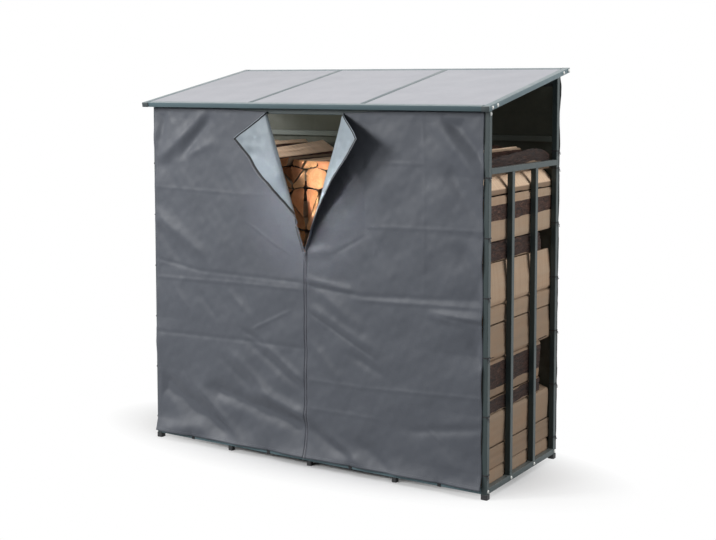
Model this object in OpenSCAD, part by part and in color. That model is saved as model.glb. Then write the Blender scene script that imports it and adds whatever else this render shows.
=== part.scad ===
// Lean-to log store, loaded: a square-tube frame with barred ends, a three-panel sloping roof,
// a fabric front with its zip half open, a fabric back, and a stack of split logs.
// Millimetres. X runs along the front, Y from front to back, Z up.
// The origin is at ground level, in the middle of the overall plan.

/* [Frame] */
// Width over the posts
frame_w = 1800; // [1200:10:2400]
// Depth over the posts
frame_d = 720; // [560:10:1000]
// Height of a front post at its front face
front_h = 1637; // [1300:1:2000]
// Side of the square tube
tube = 25; // [20:1:35]
// Corner radius of the square tube
tube_r = 2.5; // [1:0.5:4]
// Gap from the ground to the base rails
foot_h = 22; // [15:1:40]
// Bars in each end frame, between the posts
end_bars = 2; // [1:1:4]
// Open height at each end, from the end rail up to the front top rail
end_window_h = 210; // [120:5:400]
// Gap from the end rails' height up to the back rail
back_rail_rise = 80; // [40:5:200]
// Drop of the top rails below the roof
top_rail_drop = 10; // [5:1:40]

/* [Feet] */
// Wall of the corner foot cap
cap_wall = 2.5; // [1.5:0.5:5]
// Floor of the corner foot cap
cap_floor = 4; // [2:0.5:8]
// Feet under each long base rail, between the corner feet
rail_feet_n = 3; // [1:1:6]

/* [Roof] */
// Roof slope in degrees
roof_pitch = 11; // [5:0.5:20]
// Width of the roof bars
bar_w = 36; // [32:1:60]
// Height of the roof bars
bar_h = 22; // [16:1:35]
// Roof overhang past each end of the frame
roof_side = 24; // [10:1:27]
// Roof overhang in front of the posts, along the slope
roof_front = 53; // [44:1:90]
// Roof overhang behind the posts, along the slope
roof_back = 59; // [44:1:120]
// Panels across the roof
panel_n = 3; // [2:1:5]
// Thickness of a roof panel
panel_t = 4.5; // [3:0.5:10]
// Width of the rebate that a panel lies in
rebate_w = 5; // [4:0.5:12]
// Depth of a panel's top face below the bars
panel_sink = 1; // [0.5:0.5:4]
// Thickness of the end caps on the sloping bars
end_cap_t = 3; // [2:0.5:6]

/* [Covers] */
// Thickness of the cover fabric, with its lining
cover_t = 2; // [1:0.5:3]
// Width of the front post left bare at the right-hand edge of the front cover
cover_right_inset = 22; // [0:1:60]
// Height of the covers' lower edge above the ground
cover_bottom = 39; // [25:1:80]
// Drop of a cover's upper edge below the top of its top rail
cover_top_drop = 4; // [2:1:20]
// Width of the zip between the two halves of the front cover
zip_w = 14; // [8:1:24]
// Thickness of the zip
zip_t = 3; // [2:0.5:5]
// Height that the zip is open, from the top of the front cover down
zip_open_h = 645; // [300:1:1000]
// Width that the left half is folded back, at the top
open_left = 217; // [80:1:300]
// Width that the right half is folded back, at the top
open_right = 209; // [80:1:300]
// Angle that the left flap stands off its cover, in degrees
lift_left = 4; // [2:1:60]
// Angle that the right flap stands off its cover, in degrees
lift_right = 35; // [2:1:60]
// Radius of the fold along each flap
fold_r = 5; // [4:0.5:10]
// Width of the straps and ties
strap_w = 17; // [8:1:30]
// Thickness of the straps and ties
strap_t = 1.5; // [1:0.25:3]
// Drop of the highest tie on a front post below the end rail
tie_drop = 5; // [2:1:40]
// Distance between ties on a post
tie_pitch = 250; // [150:10:400]

/* [Logs] */
// Usual width of a log
log_w = 134; // [90:1:180]
// Usual height of a log
log_h = 116; // [80:1:160]
// Most that a log stops short of the line at the back of the stack
log_short = 60; // [0:5:80]
// Most that a log is set back from the line at the front of the stack
log_set_back = 22; // [0:1:40]
// Clear height above the stack, up to the front top rail
log_headroom = 140; // [90:5:400]
// Gap from the stack to the end frames
log_side_gap = 8; // [5:1:40]
// Gap from the stack to the front posts
log_front_gap = 10; // [6:1:30]
// Gap from the stack to the back posts
log_back_gap = 6; // [6:1:60]
// Gap between one log and the next
log_gap = 0.6; // [0.3:0.1:0.9]
// Rise and fall of each layer, so that a log nests between the two below it
log_nest = 11; // [4:1:14]
// Share of logs that are split once more
split_share = 0.34; // [0:0.02:1]
// Share of each side that is cut off at a log's corners
log_corner = 0.08; // [0.05:0.01:0.3]

/* [Hidden] */
$fn = 32;
seat = 0.3;

// Levels of the frame
base_top = foot_h + tube;
front_rail_top = front_h - top_rail_drop;
front_rail_low = front_rail_top - tube;
back_rail_top = roof_under(frame_d - tube) - top_rail_drop;
back_rail_low = back_rail_top - tube;
end_rail_top = front_rail_low - end_window_h;
end_rail_low = end_rail_top - tube;
back_rail_z = end_rail_top + back_rail_rise;
span_x = frame_w - 2 * tube;
span_y = frame_d - 2 * tube;

// Roof, in a frame that slopes with it and starts at the front posts' front top edge
roof_w = frame_w + 2 * roof_side;
roof_l = roof_front + frame_d / cos(roof_pitch) + roof_back;
bar_span = roof_w - 2 * bar_w;
rafter_l = roof_l - 2 * end_cap_t - 2 * bar_w;
panel_bay_w = (bar_span - (panel_n - 1) * bar_w) / panel_n;

// Front cover: two halves that meet at the zip
cover_w = frame_w - cover_right_inset;
cover_half = cover_w / 2;
front_cover_top = front_rail_top - cover_top_drop;
back_cover_top = back_rail_top - cover_top_drop;
zip_open_z = front_cover_top - zip_open_h;

// How far the object reaches in front of and behind the posts
fold_tuck = 0.6;
fold_sides = 20;
flap_reach = seat + fold_r + fold_tuck + (fold_r - fold_tuck) * cos(lift_right)
    + zip_open_h * cos(fold_angle(open_right)) * sin(lift_right);
front_reach = max(flap_reach, roof_front * cos(roof_pitch) + bar_h * sin(roof_pitch));
back_reach = roof_back * cos(roof_pitch);
plan_shift = [-frame_w / 2, (front_reach - frame_d - back_reach) / 2, 0];

// Stack of logs
stack_x = tube + log_side_gap;
stack_w = frame_w - 2 * stack_x;
stack_h = front_rail_low - log_headroom - base_top;
columns = round(stack_w / log_w);
rows = 2 * round(stack_h / log_h / 2);
half_w = stack_w / columns / 2;
// Relative heights of the rows of logs, from the floor up
row_pattern = [57, 84, 156, 63, 174, 139, 91, 180, 94, 187, 95, 95];
row_unit = (stack_h - log_nest) / row_base(rows);
log_tiers = 6;
rows_per_tier = ceil(rows / log_tiers);

// Height of the roof bars' underside at a depth behind the front posts' front face
function roof_under(y) = front_h + y * tan(roof_pitch);

// Angle of a flap's fold line, for a half that is folded back by open_w at the top
function fold_angle(open_w) = atan2(zip_open_h, open_w - zip_w / 2);

// Middle of item i of n that share a length evenly, with the ends left free
function shared(i, n, length) = (i + 1) * length / (n + 1);

// Point a share t of the way from a to b
function between(a, b, t) = a + (b - a) * t;

// Square tube with rounded corners, standing on the XY plane
module tube_up(length) {
    linear_extrude(length) rounded_square(tube, tube_r);
}

module rounded_square(side, r) {
    union() {
        translate([r, 0]) square([side - 2 * r, side]);
        translate([0, r]) square([side, side - 2 * r]);
        for (x = [r, side - r], y = [r, side - r]) translate([x, y]) circle(r);
    }
}

// Tube along +X or +Y, in the corner box that starts at the origin
module tube_x(length) {
    translate([0, 0, tube]) rotate([0, 90, 0]) tube_up(length);
}

module tube_y(length) {
    translate([0, length, 0]) rotate([90, 0, 0]) tube_up(length);
}

// Children placed from the front left corner of the frame on the ground
module in_plan() {
    translate(plan_shift) children();
}

// Children on the left stay, and on the right are mirrored about the middle of the frame
module at_end(right) {
    in_plan()
        if (right) translate([frame_w, 0, 0]) mirror([1, 0, 0]) children();
        else children();
}

// Children in the roof's own sloping frame
module on_roof() {
    in_plan() translate([0, 0, front_h]) rotate([roof_pitch, 0, 0]) children();
}

// Corner post, cut at the top to the slope of the roof
module post(back, right) {
    y = back ? frame_d - tube : 0;
    tall = roof_under(frame_d) + tube;
    color("slategray") at_end(right) difference() {
        translate([0, y, cap_floor]) tube_up(tall);
        translate([-tube, 0, front_h]) rotate([roof_pitch, 0, 0])
            translate([0, -frame_d, 0]) cube([3 * tube, 3 * frame_d, 2 * tall]);
    }
}

// Rail between two posts along the front or the back
module long_rail(y, low) {
    color("slategray") in_plan() translate([tube, y, low]) tube_x(span_x);
}

// Rail between the two posts of an end frame
module end_rail(low, right) {
    color("slategray") at_end(right) translate([0, tube, low]) tube_y(span_y);
}

// Bars that carry the logs, from end rail to end rail in line with the end bars
module floor_bars() {
    color("slategray") in_plan() for (i = [0 : end_bars - 1])
        translate([tube, end_bar_y(i), foot_h]) tube_x(span_x);
}

// Upright bars of an end frame, between its base rail and its end rail
module end_bars_of(right) {
    color("slategray") at_end(right) for (i = [0 : end_bars - 1])
        translate([0, end_bar_y(i), base_top]) tube_up(end_rail_low - base_top);
}

function end_bar_y(i) = shared(i, end_bars, frame_d) - tube / 2;

// Moulded caps on the feet of the posts: each post stands in its socket
module corner_feet() {
    socket = tube + 2 * seat;
    outer = socket + 2 * cap_wall;
    cap_h = foot_h - seat;
    color("#1c1d1f") for (right = [false, true], y = [0, frame_d - tube])
        at_end(right) translate([-seat - cap_wall, y - seat - cap_wall, 0]) difference() {
            linear_extrude(cap_h) rounded_square(outer, tube_r + cap_wall);
            translate([cap_wall, cap_wall, cap_floor]) linear_extrude(cap_h) rounded_square(socket, tube_r);
        }
}

// Blocks under the long base rails
module rail_feet() {
    block_r = 2 * tube_r;
    color("#1c1d1f") in_plan() for (i = [0 : rail_feet_n - 1], y = [0, frame_d - tube])
        translate([shared(i, rail_feet_n, frame_w) - tube / 2, y, 0])
            linear_extrude(foot_h) rounded_square(tube, block_r);
}

// Cross-section of a roof bar: a rebate on one or both upper edges holds the panels
module bar_section(both) {
    rebate_d = panel_t + panel_sink;
    difference() {
        square([bar_w, bar_h]);
        translate([bar_w - rebate_w, bar_h - rebate_d]) square([rebate_w + 1, rebate_d + 1]);
        if (both) translate([-1, bar_h - rebate_d]) square([rebate_w + 1, rebate_d + 1]);
    }
}

// Bar up the slope, with its section's width along X
module bar_up_slope(length, both = false) {
    translate([0, length, 0]) rotate([90, 0, 0]) linear_extrude(length) bar_section(both);
}

// Edge bar up the slope at one end of the roof, resting on the posts
module roof_bar_side(right) {
    color("#6f8589") on_roof()
        translate([right ? roof_w - roof_side : -roof_side, end_cap_t - roof_front, 0])
            mirror([right ? 1 : 0, 0, 0]) bar_up_slope(roof_l - 2 * end_cap_t);
}

// Edge bar across the slope, between the two side bars
module roof_bar_across(back) {
    y = back ? roof_l - roof_front - end_cap_t : end_cap_t - roof_front;
    color("#6f8589") on_roof() translate([bar_w - roof_side, y, 0]) mirror([0, back ? 1 : 0, 0])
        rotate([90, 0, 90]) linear_extrude(bar_span) bar_section(false);
}

// Bars between the panels
module roof_rafters() {
    color("#6f8589") on_roof() for (i = [1 : panel_n - 1])
        translate([panel_x(i) - bar_w, end_cap_t - roof_front + bar_w, 0]) bar_up_slope(rafter_l, true);
}

// Left side of bay i of the roof, at the full height of the bars
function panel_x(i) = bar_w - roof_side + i * (panel_bay_w + bar_w);

// Plugs on the ends of the sloping side bars
module roof_end_caps() {
    color("#3f4d50") on_roof() for (x = [-roof_side, roof_w - roof_side - bar_w], back = [false, true])
        translate([x, back ? roof_l - roof_front - end_cap_t : -roof_front, 0]) cube([bar_w, end_cap_t, bar_h]);
}

// Roof panel i, lying in the rebates of the bars round it
module roof_panel(i) {
    lap = rebate_w - seat;
    color("#b9bbc4") on_roof()
        translate([panel_x(i) - lap, end_cap_t - roof_front + bar_w - lap, bar_h - panel_sink - panel_t])
            cube([panel_bay_w + 2 * lap, rafter_l + 2 * lap, panel_t]);
}

// Children drawn on the front of the frame: X across, Y up, Z out towards the front
module on_front(x) {
    in_plan() translate([x, -seat, 0]) rotate([90, 0, 0]) children();
}

// Section of the bead along a fold, in flats that meet the fabric between two of its corners
function fold_ring() = [for (i = [0 : fold_sides - 1]) let (turn = 360 * (i + 0.5) / fold_sides)
    fold_r * [cos(turn), sin(turn)]];

// One half of the front cover, from the zip outwards, with its top corner folded back
module front_cover(open_w, lift) {
    inner = zip_w / 2;
    turn = fold_angle(open_w);
    fold_l = zip_open_h / sin(turn);
    tip = [zip_open_h * sin(turn), -zip_open_h * cos(turn)];
    union() {
        linear_extrude(cover_t) polygon([
            [inner, cover_bottom], [cover_half, cover_bottom], [cover_half, front_cover_top],
            [open_w, front_cover_top], [inner, zip_open_z]
        ]);
        translate([inner, zip_open_z, fold_r + fold_tuck]) rotate([0, 0, turn]) {
            translate([-fold_tuck, 0, 0]) rotate([0, 90, 0])
                linear_extrude(fold_l + 2 * fold_tuck) polygon(fold_ring());
            rotate([-lift, 0, 0]) translate([0, 0, fold_r - fold_tuck - cover_t])
                linear_extrude(cover_t) polygon([[0, 0], [fold_l, 0], tip]);
        }
    }
}

module front_cover_left() {
    color("#5b5d66") on_front(cover_half) mirror([1, 0, 0]) front_cover(open_left, lift_left);
}

module front_cover_right() {
    color("#5b5d66") on_front(cover_half) front_cover(open_right, lift_right);
}

// Closed part of the zip, with its slider at the foot of the opening
module zip() {
    slider_w = zip_w - 4 * seat;
    slider_h = 1.6 * zip_w;
    tape_w = zip_w - 2 * seat;
    tape_top = zip_open_z - fold_r;
    color("#2b2d31") on_front(cover_half) union() {
        translate([-tape_w / 2, cover_bottom, 0]) cube([tape_w, tape_top - cover_bottom, zip_t]);
        translate([-slider_w / 2, tape_top - slider_h, 0]) cube([slider_w, slider_h, 2 * zip_t]);
    }
}

module back_cover() {
    color("#3a3b40") in_plan() translate([0, frame_d + seat, cover_bottom])
        cube([frame_w, cover_t, back_cover_top - cover_bottom]);
}

// Section of webbing that leaves a cover's edge, goes round a square tube and ends behind the cover.
// X runs from the tube's outer side, Y from its face under the cover; the cover's edge is at X = edge.
module webbing_section(edge) {
    inner = tube + 2 * seat;
    outer = inner + 2 * strap_t;
    difference() {
        translate([-seat - strap_t, -seat - strap_t]) square(outer);
        translate([-seat, -seat]) square(inner);
        translate([edge - seat, -outer]) square([2 * outer, outer]);
    }
}

// Webbing that holds a cover's lower edge to the base rail, midway between the feet
module straps(back) {
    n = rail_feet_n + 1;
    color("#2b2d31") in_plan() for (i = [0 : n - 1])
        translate([(i + 0.5) * frame_w / n + strap_w / 2, back ? frame_d : 0, foot_h])
            mirror([0, back ? 1 : 0, 0]) rotate([0, -90, 0])
                linear_extrude(strap_w) webbing_section(cover_bottom - foot_h);
}

// Webbing that holds a cover's side edges to the posts, down from the end rails and once above them
module ties(back) {
    highest = end_rail_low - tie_drop - strap_w;
    above = end_rail_top + (back_rail_rise - strap_w) / 2;
    heights = [for (z = [highest : -tie_pitch : base_top + strap_w]) z];
    color("#2b2d31") for (right = [false, true], z = back ? concat(heights, [above]) : heights)
        at_end(right) translate([0, back ? frame_d : 0, z]) mirror([0, back ? 1 : 0, 0])
            linear_extrude(strap_w) webbing_section(right && !back ? cover_right_inset : 0);
}

// Corner of the stack's cells: boundary j counts up from the floor, k along it in half widths.
// Each boundary zigzags: it dips where the row below is parted, and rises where the row above is.
function cell_corner(j, k) = [
    stack_x + k * half_w + sway(j, k, 0) * half_w * (k == 0 || k == 2 * columns ? 0 : 0.24),
    base_top + row_base(j) * row_unit + (j == 0 ? 0 : log_nest * (0.72 + 0.28 * sway(j, k, 1)) * ((j + k) % 2 == 0 ? 1 : -1))
];

// Relative height of row j, and of all the rows below it
function row_part(j) = row_pattern[j % len(row_pattern)];
function row_base(j) = j == 0 ? 0 : row_base(j - 1) + row_part(j - 1);

// Fixed scatter from -1 to 1 for a place in the stack
function sway(j, k, salt) = rands(-1, 1, 1, 7919 * salt + 101 * j + k + 17)[0];

// Outline of the cell that spans half widths from ka to kb in row j
function cell(j, ka, kb) = concat(
    [for (k = [ka : kb]) cell_corner(j, k)],
    [for (k = [kb : -1 : ka]) cell_corner(j + 1, k)]
);

function middle(points) = [for (p = points) 1] * points / len(points);

// A cell drawn in by the gap, with its corners cut off
function log_outline(points, height) = let (
    n = len(points),
    c = middle(points),
    drawn = [for (p = points) between(c, p, 1 - log_gap / height)]
) [for (i = [0 : n - 1], next = [-1, 1]) between(drawn[i], drawn[(i + next + n) % n], log_corner)];

// Spans of row j: whole logs, those split once more, and half logs at the ends of odd rows
function spans(j) = [
    if (j % 2 == 1) [0, 1],
    for (k = [j % 2 : 2 : 2 * columns - 2])
        each sway(j, k, 2) < 2 * split_share - 1 ? [[k, k + 1], [k + 1, k + 2]] : [[k, k + 2]],
    if (j % 2 == 1) [2 * columns - 1, 2 * columns]
];

// One log, lying from front to back
module split_log(j, ka, kb) {
    near = tube + log_front_gap + log_set_back * (0.5 + 0.5 * sway(j, ka, 3));
    far = frame_d - tube - log_back_gap - log_short * (0.5 + 0.5 * sway(j, ka, 4));
    translate([0, far, 0]) rotate([90, 0, 0])
        linear_extrude(far - near) polygon(log_outline(cell(j, ka, kb), row_unit * row_part(j)));
}

// Rows of logs in tier t, counted from the floor
module log_tier(t) {
    first = t * rows_per_tier;
    color("#a8805c") in_plan() for (j = [first : min(first + rows_per_tier, rows) - 1])
        for (s = spans(j)) split_log(j, s[0], s[1]);
}

post(false, false);  // post_front_left
post(false, true);  // post_front_right
post(true, false);  // post_back_left
post(true, true);  // post_back_right
long_rail(0, foot_h);  // base_rail_front
long_rail(frame_d - tube, foot_h);  // base_rail_back
end_rail(foot_h, false);  // base_rail_left
end_rail(foot_h, true);  // base_rail_right
floor_bars();
long_rail(0, front_rail_low);  // top_rail_front
long_rail(frame_d - tube, back_rail_low);  // top_rail_back
long_rail(frame_d - tube, back_rail_z);  // back_rail
end_rail(end_rail_low, false);  // end_rail_left
end_rail(end_rail_low, true);  // end_rail_right
end_bars_of(false);  // end_bars_left
end_bars_of(true);  // end_bars_right
corner_feet();
rail_feet();
roof_bar_side(false);  // roof_bar_left
roof_bar_side(true);  // roof_bar_right
roof_bar_across(false);  // roof_bar_front
roof_bar_across(true);  // roof_bar_back
roof_rafters();
roof_end_caps();
roof_panel(0);  // roof_panel_left
for (i = [1 : panel_n - 2]) roof_panel(i);  // roof_panel_middle
roof_panel(panel_n - 1);  // roof_panel_right
front_cover_left();
front_cover_right();
zip();
back_cover();
straps(false);  // front_straps
straps(true);  // back_straps
ties(false);  // front_ties
ties(true);  // back_ties
log_tier(0);  // log_tier_1
log_tier(1);  // log_tier_2
log_tier(2);  // log_tier_3
log_tier(3);  // log_tier_4
log_tier(4);  // log_tier_5
log_tier(5);  // log_tier_6
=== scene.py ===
"""Dresses a log store: fabric covers, split logs, roof, fittings and a plain stage."""
import math

import bmesh
import bpy
import numpy as np
from bpy.props import FloatProperty, FloatVectorProperty, IntProperty, PointerProperty
from mathutils import Matrix, Vector, noise


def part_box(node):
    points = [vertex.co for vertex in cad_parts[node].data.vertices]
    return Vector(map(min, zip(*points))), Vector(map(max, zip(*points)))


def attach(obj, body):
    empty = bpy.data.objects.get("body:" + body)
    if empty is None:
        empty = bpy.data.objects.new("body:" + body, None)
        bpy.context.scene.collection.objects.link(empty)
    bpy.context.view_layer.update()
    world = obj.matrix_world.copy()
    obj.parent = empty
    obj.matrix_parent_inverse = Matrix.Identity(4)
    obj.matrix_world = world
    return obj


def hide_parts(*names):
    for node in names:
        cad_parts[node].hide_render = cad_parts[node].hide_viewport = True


bl_info = {
    "name": "Log store dressing",
    "version": (1, 0, 0),
    "blender": (4, 5, 0),
    "location": "View3D > Sidebar > Log store",
    "description": "Makes the covers, logs, roof, fittings and stage of a log store",
    "category": "Object",
}

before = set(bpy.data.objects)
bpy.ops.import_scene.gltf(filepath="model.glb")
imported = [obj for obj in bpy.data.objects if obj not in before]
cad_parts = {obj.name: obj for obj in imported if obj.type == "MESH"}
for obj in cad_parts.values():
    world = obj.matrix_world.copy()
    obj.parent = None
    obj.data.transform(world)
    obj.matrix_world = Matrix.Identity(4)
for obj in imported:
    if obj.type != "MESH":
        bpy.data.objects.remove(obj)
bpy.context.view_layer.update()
BODY = "root"

# Places on the frame, in metres
POST_LOW, POST_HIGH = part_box("post_front_left")
BACK_POST_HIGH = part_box("post_back_left")[1]
LEFT_X, RIGHT_X = POST_LOW.x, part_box("post_front_right")[1].x
FRONT_Y, BACK_Y = POST_LOW.y, BACK_POST_HIGH.y
TUBE = POST_HIGH.x - POST_LOW.x
RAIL_LOW, RAIL_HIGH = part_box("base_rail_front")
END_RAIL_LOW, END_RAIL_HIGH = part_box("end_rail_right")
TOP_RAIL_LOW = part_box("top_rail_front")[0].z
FLOOR_LOW, FLOOR_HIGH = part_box("floor_bars")
ZIP_LOW, ZIP_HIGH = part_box("zip")
COVER_X = (ZIP_LOW.x + ZIP_HIGH.x) / 2
COVER_LOW, COVER_TOP = ZIP_LOW.z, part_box("front_cover_left")[1].z
BACK_COVER_LOW, BACK_COVER_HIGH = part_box("back_cover")
# The post tops are cut to the roof's slope
ROOF_PITCH = math.atan2(BACK_POST_HIGH.z - POST_HIGH.z, BACK_Y - FRONT_Y - TUBE)
ROOF_FRONT_Z = POST_HIGH.z - TUBE * math.tan(ROOF_PITCH)

# How far the back cover stands up past its rail, and the depth that no log end passes
BACK_HEM = 0.016
LOG_END = BACK_Y - 0.003
# Middle of the highest tie and the distance to the next, as the covers' edges bulge between them
TIE_TOP = END_RAIL_LOW.z - 0.014
TIE_PITCH = 0.25
# Gap between the cover fabric and the posts that it hangs on
HANG_GAP = 0.0014
# How far a cover may sink between the posts and rails, and the straps on each of its lower hems
MOST_SUNK = 0.012
STRAPS = 4
# Width of the photograph in pixels, which the camera's shift is measured in
PHOTO_WIDTH = 716


def srgb(r, g, b):
    """Colour picked on a 0-255 scale, as the linear values that shaders take."""
    return tuple((c / 255 / 12.92) if c <= 10 else ((c / 255 + 0.055) / 1.055) ** 2.4 for c in (r, g, b))


class CoverSettings(bpy.types.PropertyGroup):
    """Sizes and colours of the fabric covers."""

    open_left: FloatProperty(
        name="Left fold", description="Width folded back at the top of the left half",
        default=0.217, unit="LENGTH")
    open_right: FloatProperty(
        name="Right fold", description="Width folded back at the top of the right half",
        default=0.209, unit="LENGTH")
    zip_open: FloatProperty(
        name="Zip opening", description="Height that the zip is open", default=0.645, unit="LENGTH")
    zip_half: FloatProperty(
        name="Zip half width", description="Distance from the zip's middle to the fabric's edge",
        default=0.007, unit="LENGTH")
    right_inset: FloatProperty(
        name="Bare post", description="Width of post left bare beside the front cover",
        default=0.022, unit="LENGTH")
    lift_left: FloatProperty(
        name="Left flap lift", description="Angle between the top of the left flap and its cover",
        default=math.radians(6), subtype="ANGLE", unit="ROTATION")
    lift_right: FloatProperty(
        name="Right flap lift", description="Angle between the top of the right flap and its cover",
        default=math.radians(30), subtype="ANGLE", unit="ROTATION")
    stand_left: FloatProperty(
        name="Left flap stand", description="Angle between the foot of the left flap and its cover",
        default=math.radians(55), subtype="ANGLE", unit="ROTATION")
    stand_right: FloatProperty(
        name="Right flap stand", description="Angle between the foot of the right flap and its cover",
        default=math.radians(56), subtype="ANGLE", unit="ROTATION")
    roll_left: FloatProperty(
        name="Left roll", description="Radius of the left fold half way up", default=0.017, unit="LENGTH")
    roll_right: FloatProperty(
        name="Right roll", description="Radius of the right fold half way up", default=0.005, unit="LENGTH")
    thickness: FloatProperty(
        name="Thickness", description="Thickness of the fabric with its coating", default=0.001, unit="LENGTH")
    step: FloatProperty(
        name="Mesh step", description="Distance between points of the fabric", default=0.0062, unit="LENGTH")
    crumple: FloatProperty(
        name="Crumple", description="Strength of the folds and creases", default=1.25, min=0, max=3)
    outside: FloatVectorProperty(
        name="Outside", description="Colour of the coated outside", subtype="COLOR", size=3,
        default=srgb(91, 95, 103))
    lining: FloatVectorProperty(
        name="Lining", description="Colour of the silver lining", subtype="COLOR", size=3,
        default=srgb(146, 157, 165))
    back: FloatVectorProperty(
        name="Back", description="Colour of the back cover", subtype="COLOR", size=3,
        default=srgb(50, 51, 52))
    back_inside: FloatVectorProperty(
        name="Back inside", description="Colour of the back cover's inner face", subtype="COLOR", size=3,
        default=srgb(80, 82, 72))


class FinishSettings(bpy.types.PropertyGroup):
    """Colours of the frame, roof and fittings."""

    coat: FloatVectorProperty(
        name="Frame coat", description="Powder coat on the tubes", subtype="COLOR", size=3,
        default=srgb(53, 66, 67))
    roof_coat: FloatVectorProperty(
        name="Roof coat", description="Powder coat on the roof bars", subtype="COLOR", size=3,
        default=srgb(84, 104, 110))
    panel: FloatVectorProperty(
        name="Roof panel", description="Face of the roof panels", subtype="COLOR", size=3,
        default=srgb(149, 150, 158))
    plastic: FloatVectorProperty(
        name="Feet", description="Moulded plastic of the feet", subtype="COLOR", size=3,
        default=srgb(34, 35, 37))
    bolt: FloatVectorProperty(
        name="Bolt caps", description="Pale caps over the bolts", subtype="COLOR", size=3,
        default=srgb(232, 233, 229))
    bolt_radius: FloatProperty(
        name="Bolt radius", description="Radius of a bolt cap", default=0.0062, unit="LENGTH")


class LogSettings(bpy.types.PropertyGroup):
    """Shape and colours of the split logs."""

    seed: IntProperty(name="Seed", description="Start of the fixed scatter", default=4)
    furrow: FloatProperty(
        name="Bark furrow", description="Depth of the furrows in the bark", default=0.0055, unit="LENGTH")
    splinter: FloatProperty(
        name="Splinter", description="Depth of the ridges on split faces", default=0.0022, unit="LENGTH")
    split: FloatVectorProperty(
        name="Split face", description="Pale wood of a split face", subtype="COLOR", size=3,
        default=srgb(232, 206, 178))
    grain: FloatVectorProperty(
        name="Grain", description="Darker grain of a split face", subtype="COLOR", size=3,
        default=srgb(168, 134, 106))
    end: FloatVectorProperty(
        name="End", description="Sawn end of a log", subtype="COLOR", size=3, default=srgb(208, 138, 94))
    bark: FloatVectorProperty(
        name="Bark", description="Ridges of the bark", subtype="COLOR", size=3, default=srgb(88, 62, 52))


class StageSettings(bpy.types.PropertyGroup):
    """Camera and light."""

    eye: FloatVectorProperty(
        name="Camera", description="Where the camera stands, in front of the posts", subtype="XYZ", size=3,
        unit="LENGTH", default=(3.2025, -4.7114, 1.7622))
    yaw: FloatProperty(
        name="Yaw", description="Turn of the camera to the left of the depth axis", default=0.5721,
        subtype="ANGLE", unit="ROTATION")
    pitch: FloatProperty(
        name="Pitch", description="Tilt of the camera, up positive", default=-0.0833,
        subtype="ANGLE", unit="ROTATION")
    roll: FloatProperty(
        name="Roll", description="Turn of the camera about its view", default=-0.0017,
        subtype="ANGLE", unit="ROTATION")
    focal: FloatProperty(name="Focal length", description="Lens on a 36 mm sensor", default=64.092, unit="CAMERA")
    shift: FloatVectorProperty(
        name="Shift", description="Shift of the lens, in shares of the picture's width", size=2,
        default=(18.8856 / PHOTO_WIDTH, -85.0729 / PHOTO_WIDTH))
    ambient: FloatProperty(name="Ambient", description="Strength of the even light", default=0.16)


# ---- shares


def share(value, low, high):
    """How far a value has come from low to high, from 0 to 1."""
    return np.clip((value - low) / (high - low), 0, 1)


def soft(step):
    """Share from 0 to 1 that starts and stops gently."""
    return step * step * (3 - 2 * step)


# ---- meshes


def linked(name, mesh):
    """Object at the origin that holds a mesh."""
    piece = bpy.data.objects.new(name, mesh)
    bpy.context.scene.collection.objects.link(piece)
    return piece


def new_piece(name, verts, faces, material=None):
    """Smooth mesh object at the origin, its place in its points."""
    mesh = bpy.data.meshes.new(name)
    mesh.from_pydata([tuple(map(float, v)) for v in verts], [], [tuple(map(int, f)) for f in faces])
    if material:
        mesh.materials.append(material)
    mesh.polygons.foreach_set("use_smooth", [True] * len(mesh.polygons))
    mesh.update()
    return linked(name, mesh)


def freeze(piece):
    """Turns a piece's modifiers into plain mesh."""
    graph = bpy.context.evaluated_depsgraph_get()
    mesh = bpy.data.meshes.new_from_object(piece.evaluated_get(graph))
    mesh.name = piece.name
    piece.modifiers.clear()
    piece.data = mesh
    return piece


def thicken(piece, thickness, lining=0, rim=0):
    """Gives a sheet its thickness, with material slots for its lining and rim."""
    wall = piece.modifiers.new("Thickness", "SOLIDIFY")
    wall.thickness = thickness
    wall.offset = 0
    wall.material_offset = lining
    wall.material_offset_rim = rim
    return freeze(piece)


def sharpen(piece, degrees):
    """Keeps edges sharper than an angle crisp."""
    piece.data.set_sharp_from_angle(angle=math.radians(degrees))
    return piece


def outward_normals(piece):
    """Turns every closed part of a piece right side out."""
    graph = bmesh.new()
    graph.from_mesh(piece.data)
    bmesh.ops.recalc_face_normals(graph, faces=graph.faces)
    graph.to_mesh(piece.data)
    graph.free()
    return piece


def add_attribute(mesh, name, kind, domain, values):
    """Stores one value or vector for each point or face."""
    layer = mesh.attributes.new(name, kind, domain)
    field = "vector" if kind == "FLOAT_VECTOR" else "value"
    layer.data.foreach_set(field, np.asarray(values, np.float32).ravel())


def keep(piece, slot, *nodes):
    """Rides a finished piece on the frame, in place of its nodes. The slot is not used."""
    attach(piece, BODY)
    if nodes:
        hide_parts(*nodes)
    return piece


def recoat(node, material):
    """Gives a CAD node its finished material."""
    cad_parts[node].data.materials.clear()
    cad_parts[node].data.materials.append(material)


def grid_faces(rows, cols, start=0):
    """Quads of a grid of points stored row by row."""
    index = start + np.arange(rows * cols).reshape(rows, cols)
    return np.stack([index[:-1, :-1], index[:-1, 1:], index[1:, 1:], index[1:, :-1]], -1).reshape(-1, 4)


def joined(parts):
    """Points and faces of several parts in one."""
    verts, faces = [], []
    for part_verts, part_faces in parts:
        start = len(verts)
        verts += [tuple(v) for v in part_verts]
        faces += [tuple(start + i for i in f) for f in part_faces]
    return verts, faces


def unit(vectors, least=0.0):
    """Rows of vectors at length one."""
    return vectors / np.maximum(np.linalg.norm(vectors, axis=1), least)[:, None]


# ---- node helpers


def shader(name):
    """New material with its node tree and Principled shader."""
    material = bpy.data.materials.new(name)
    material.use_nodes = True
    tree = material.node_tree
    return material, tree, tree.nodes["Principled BSDF"]


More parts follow.
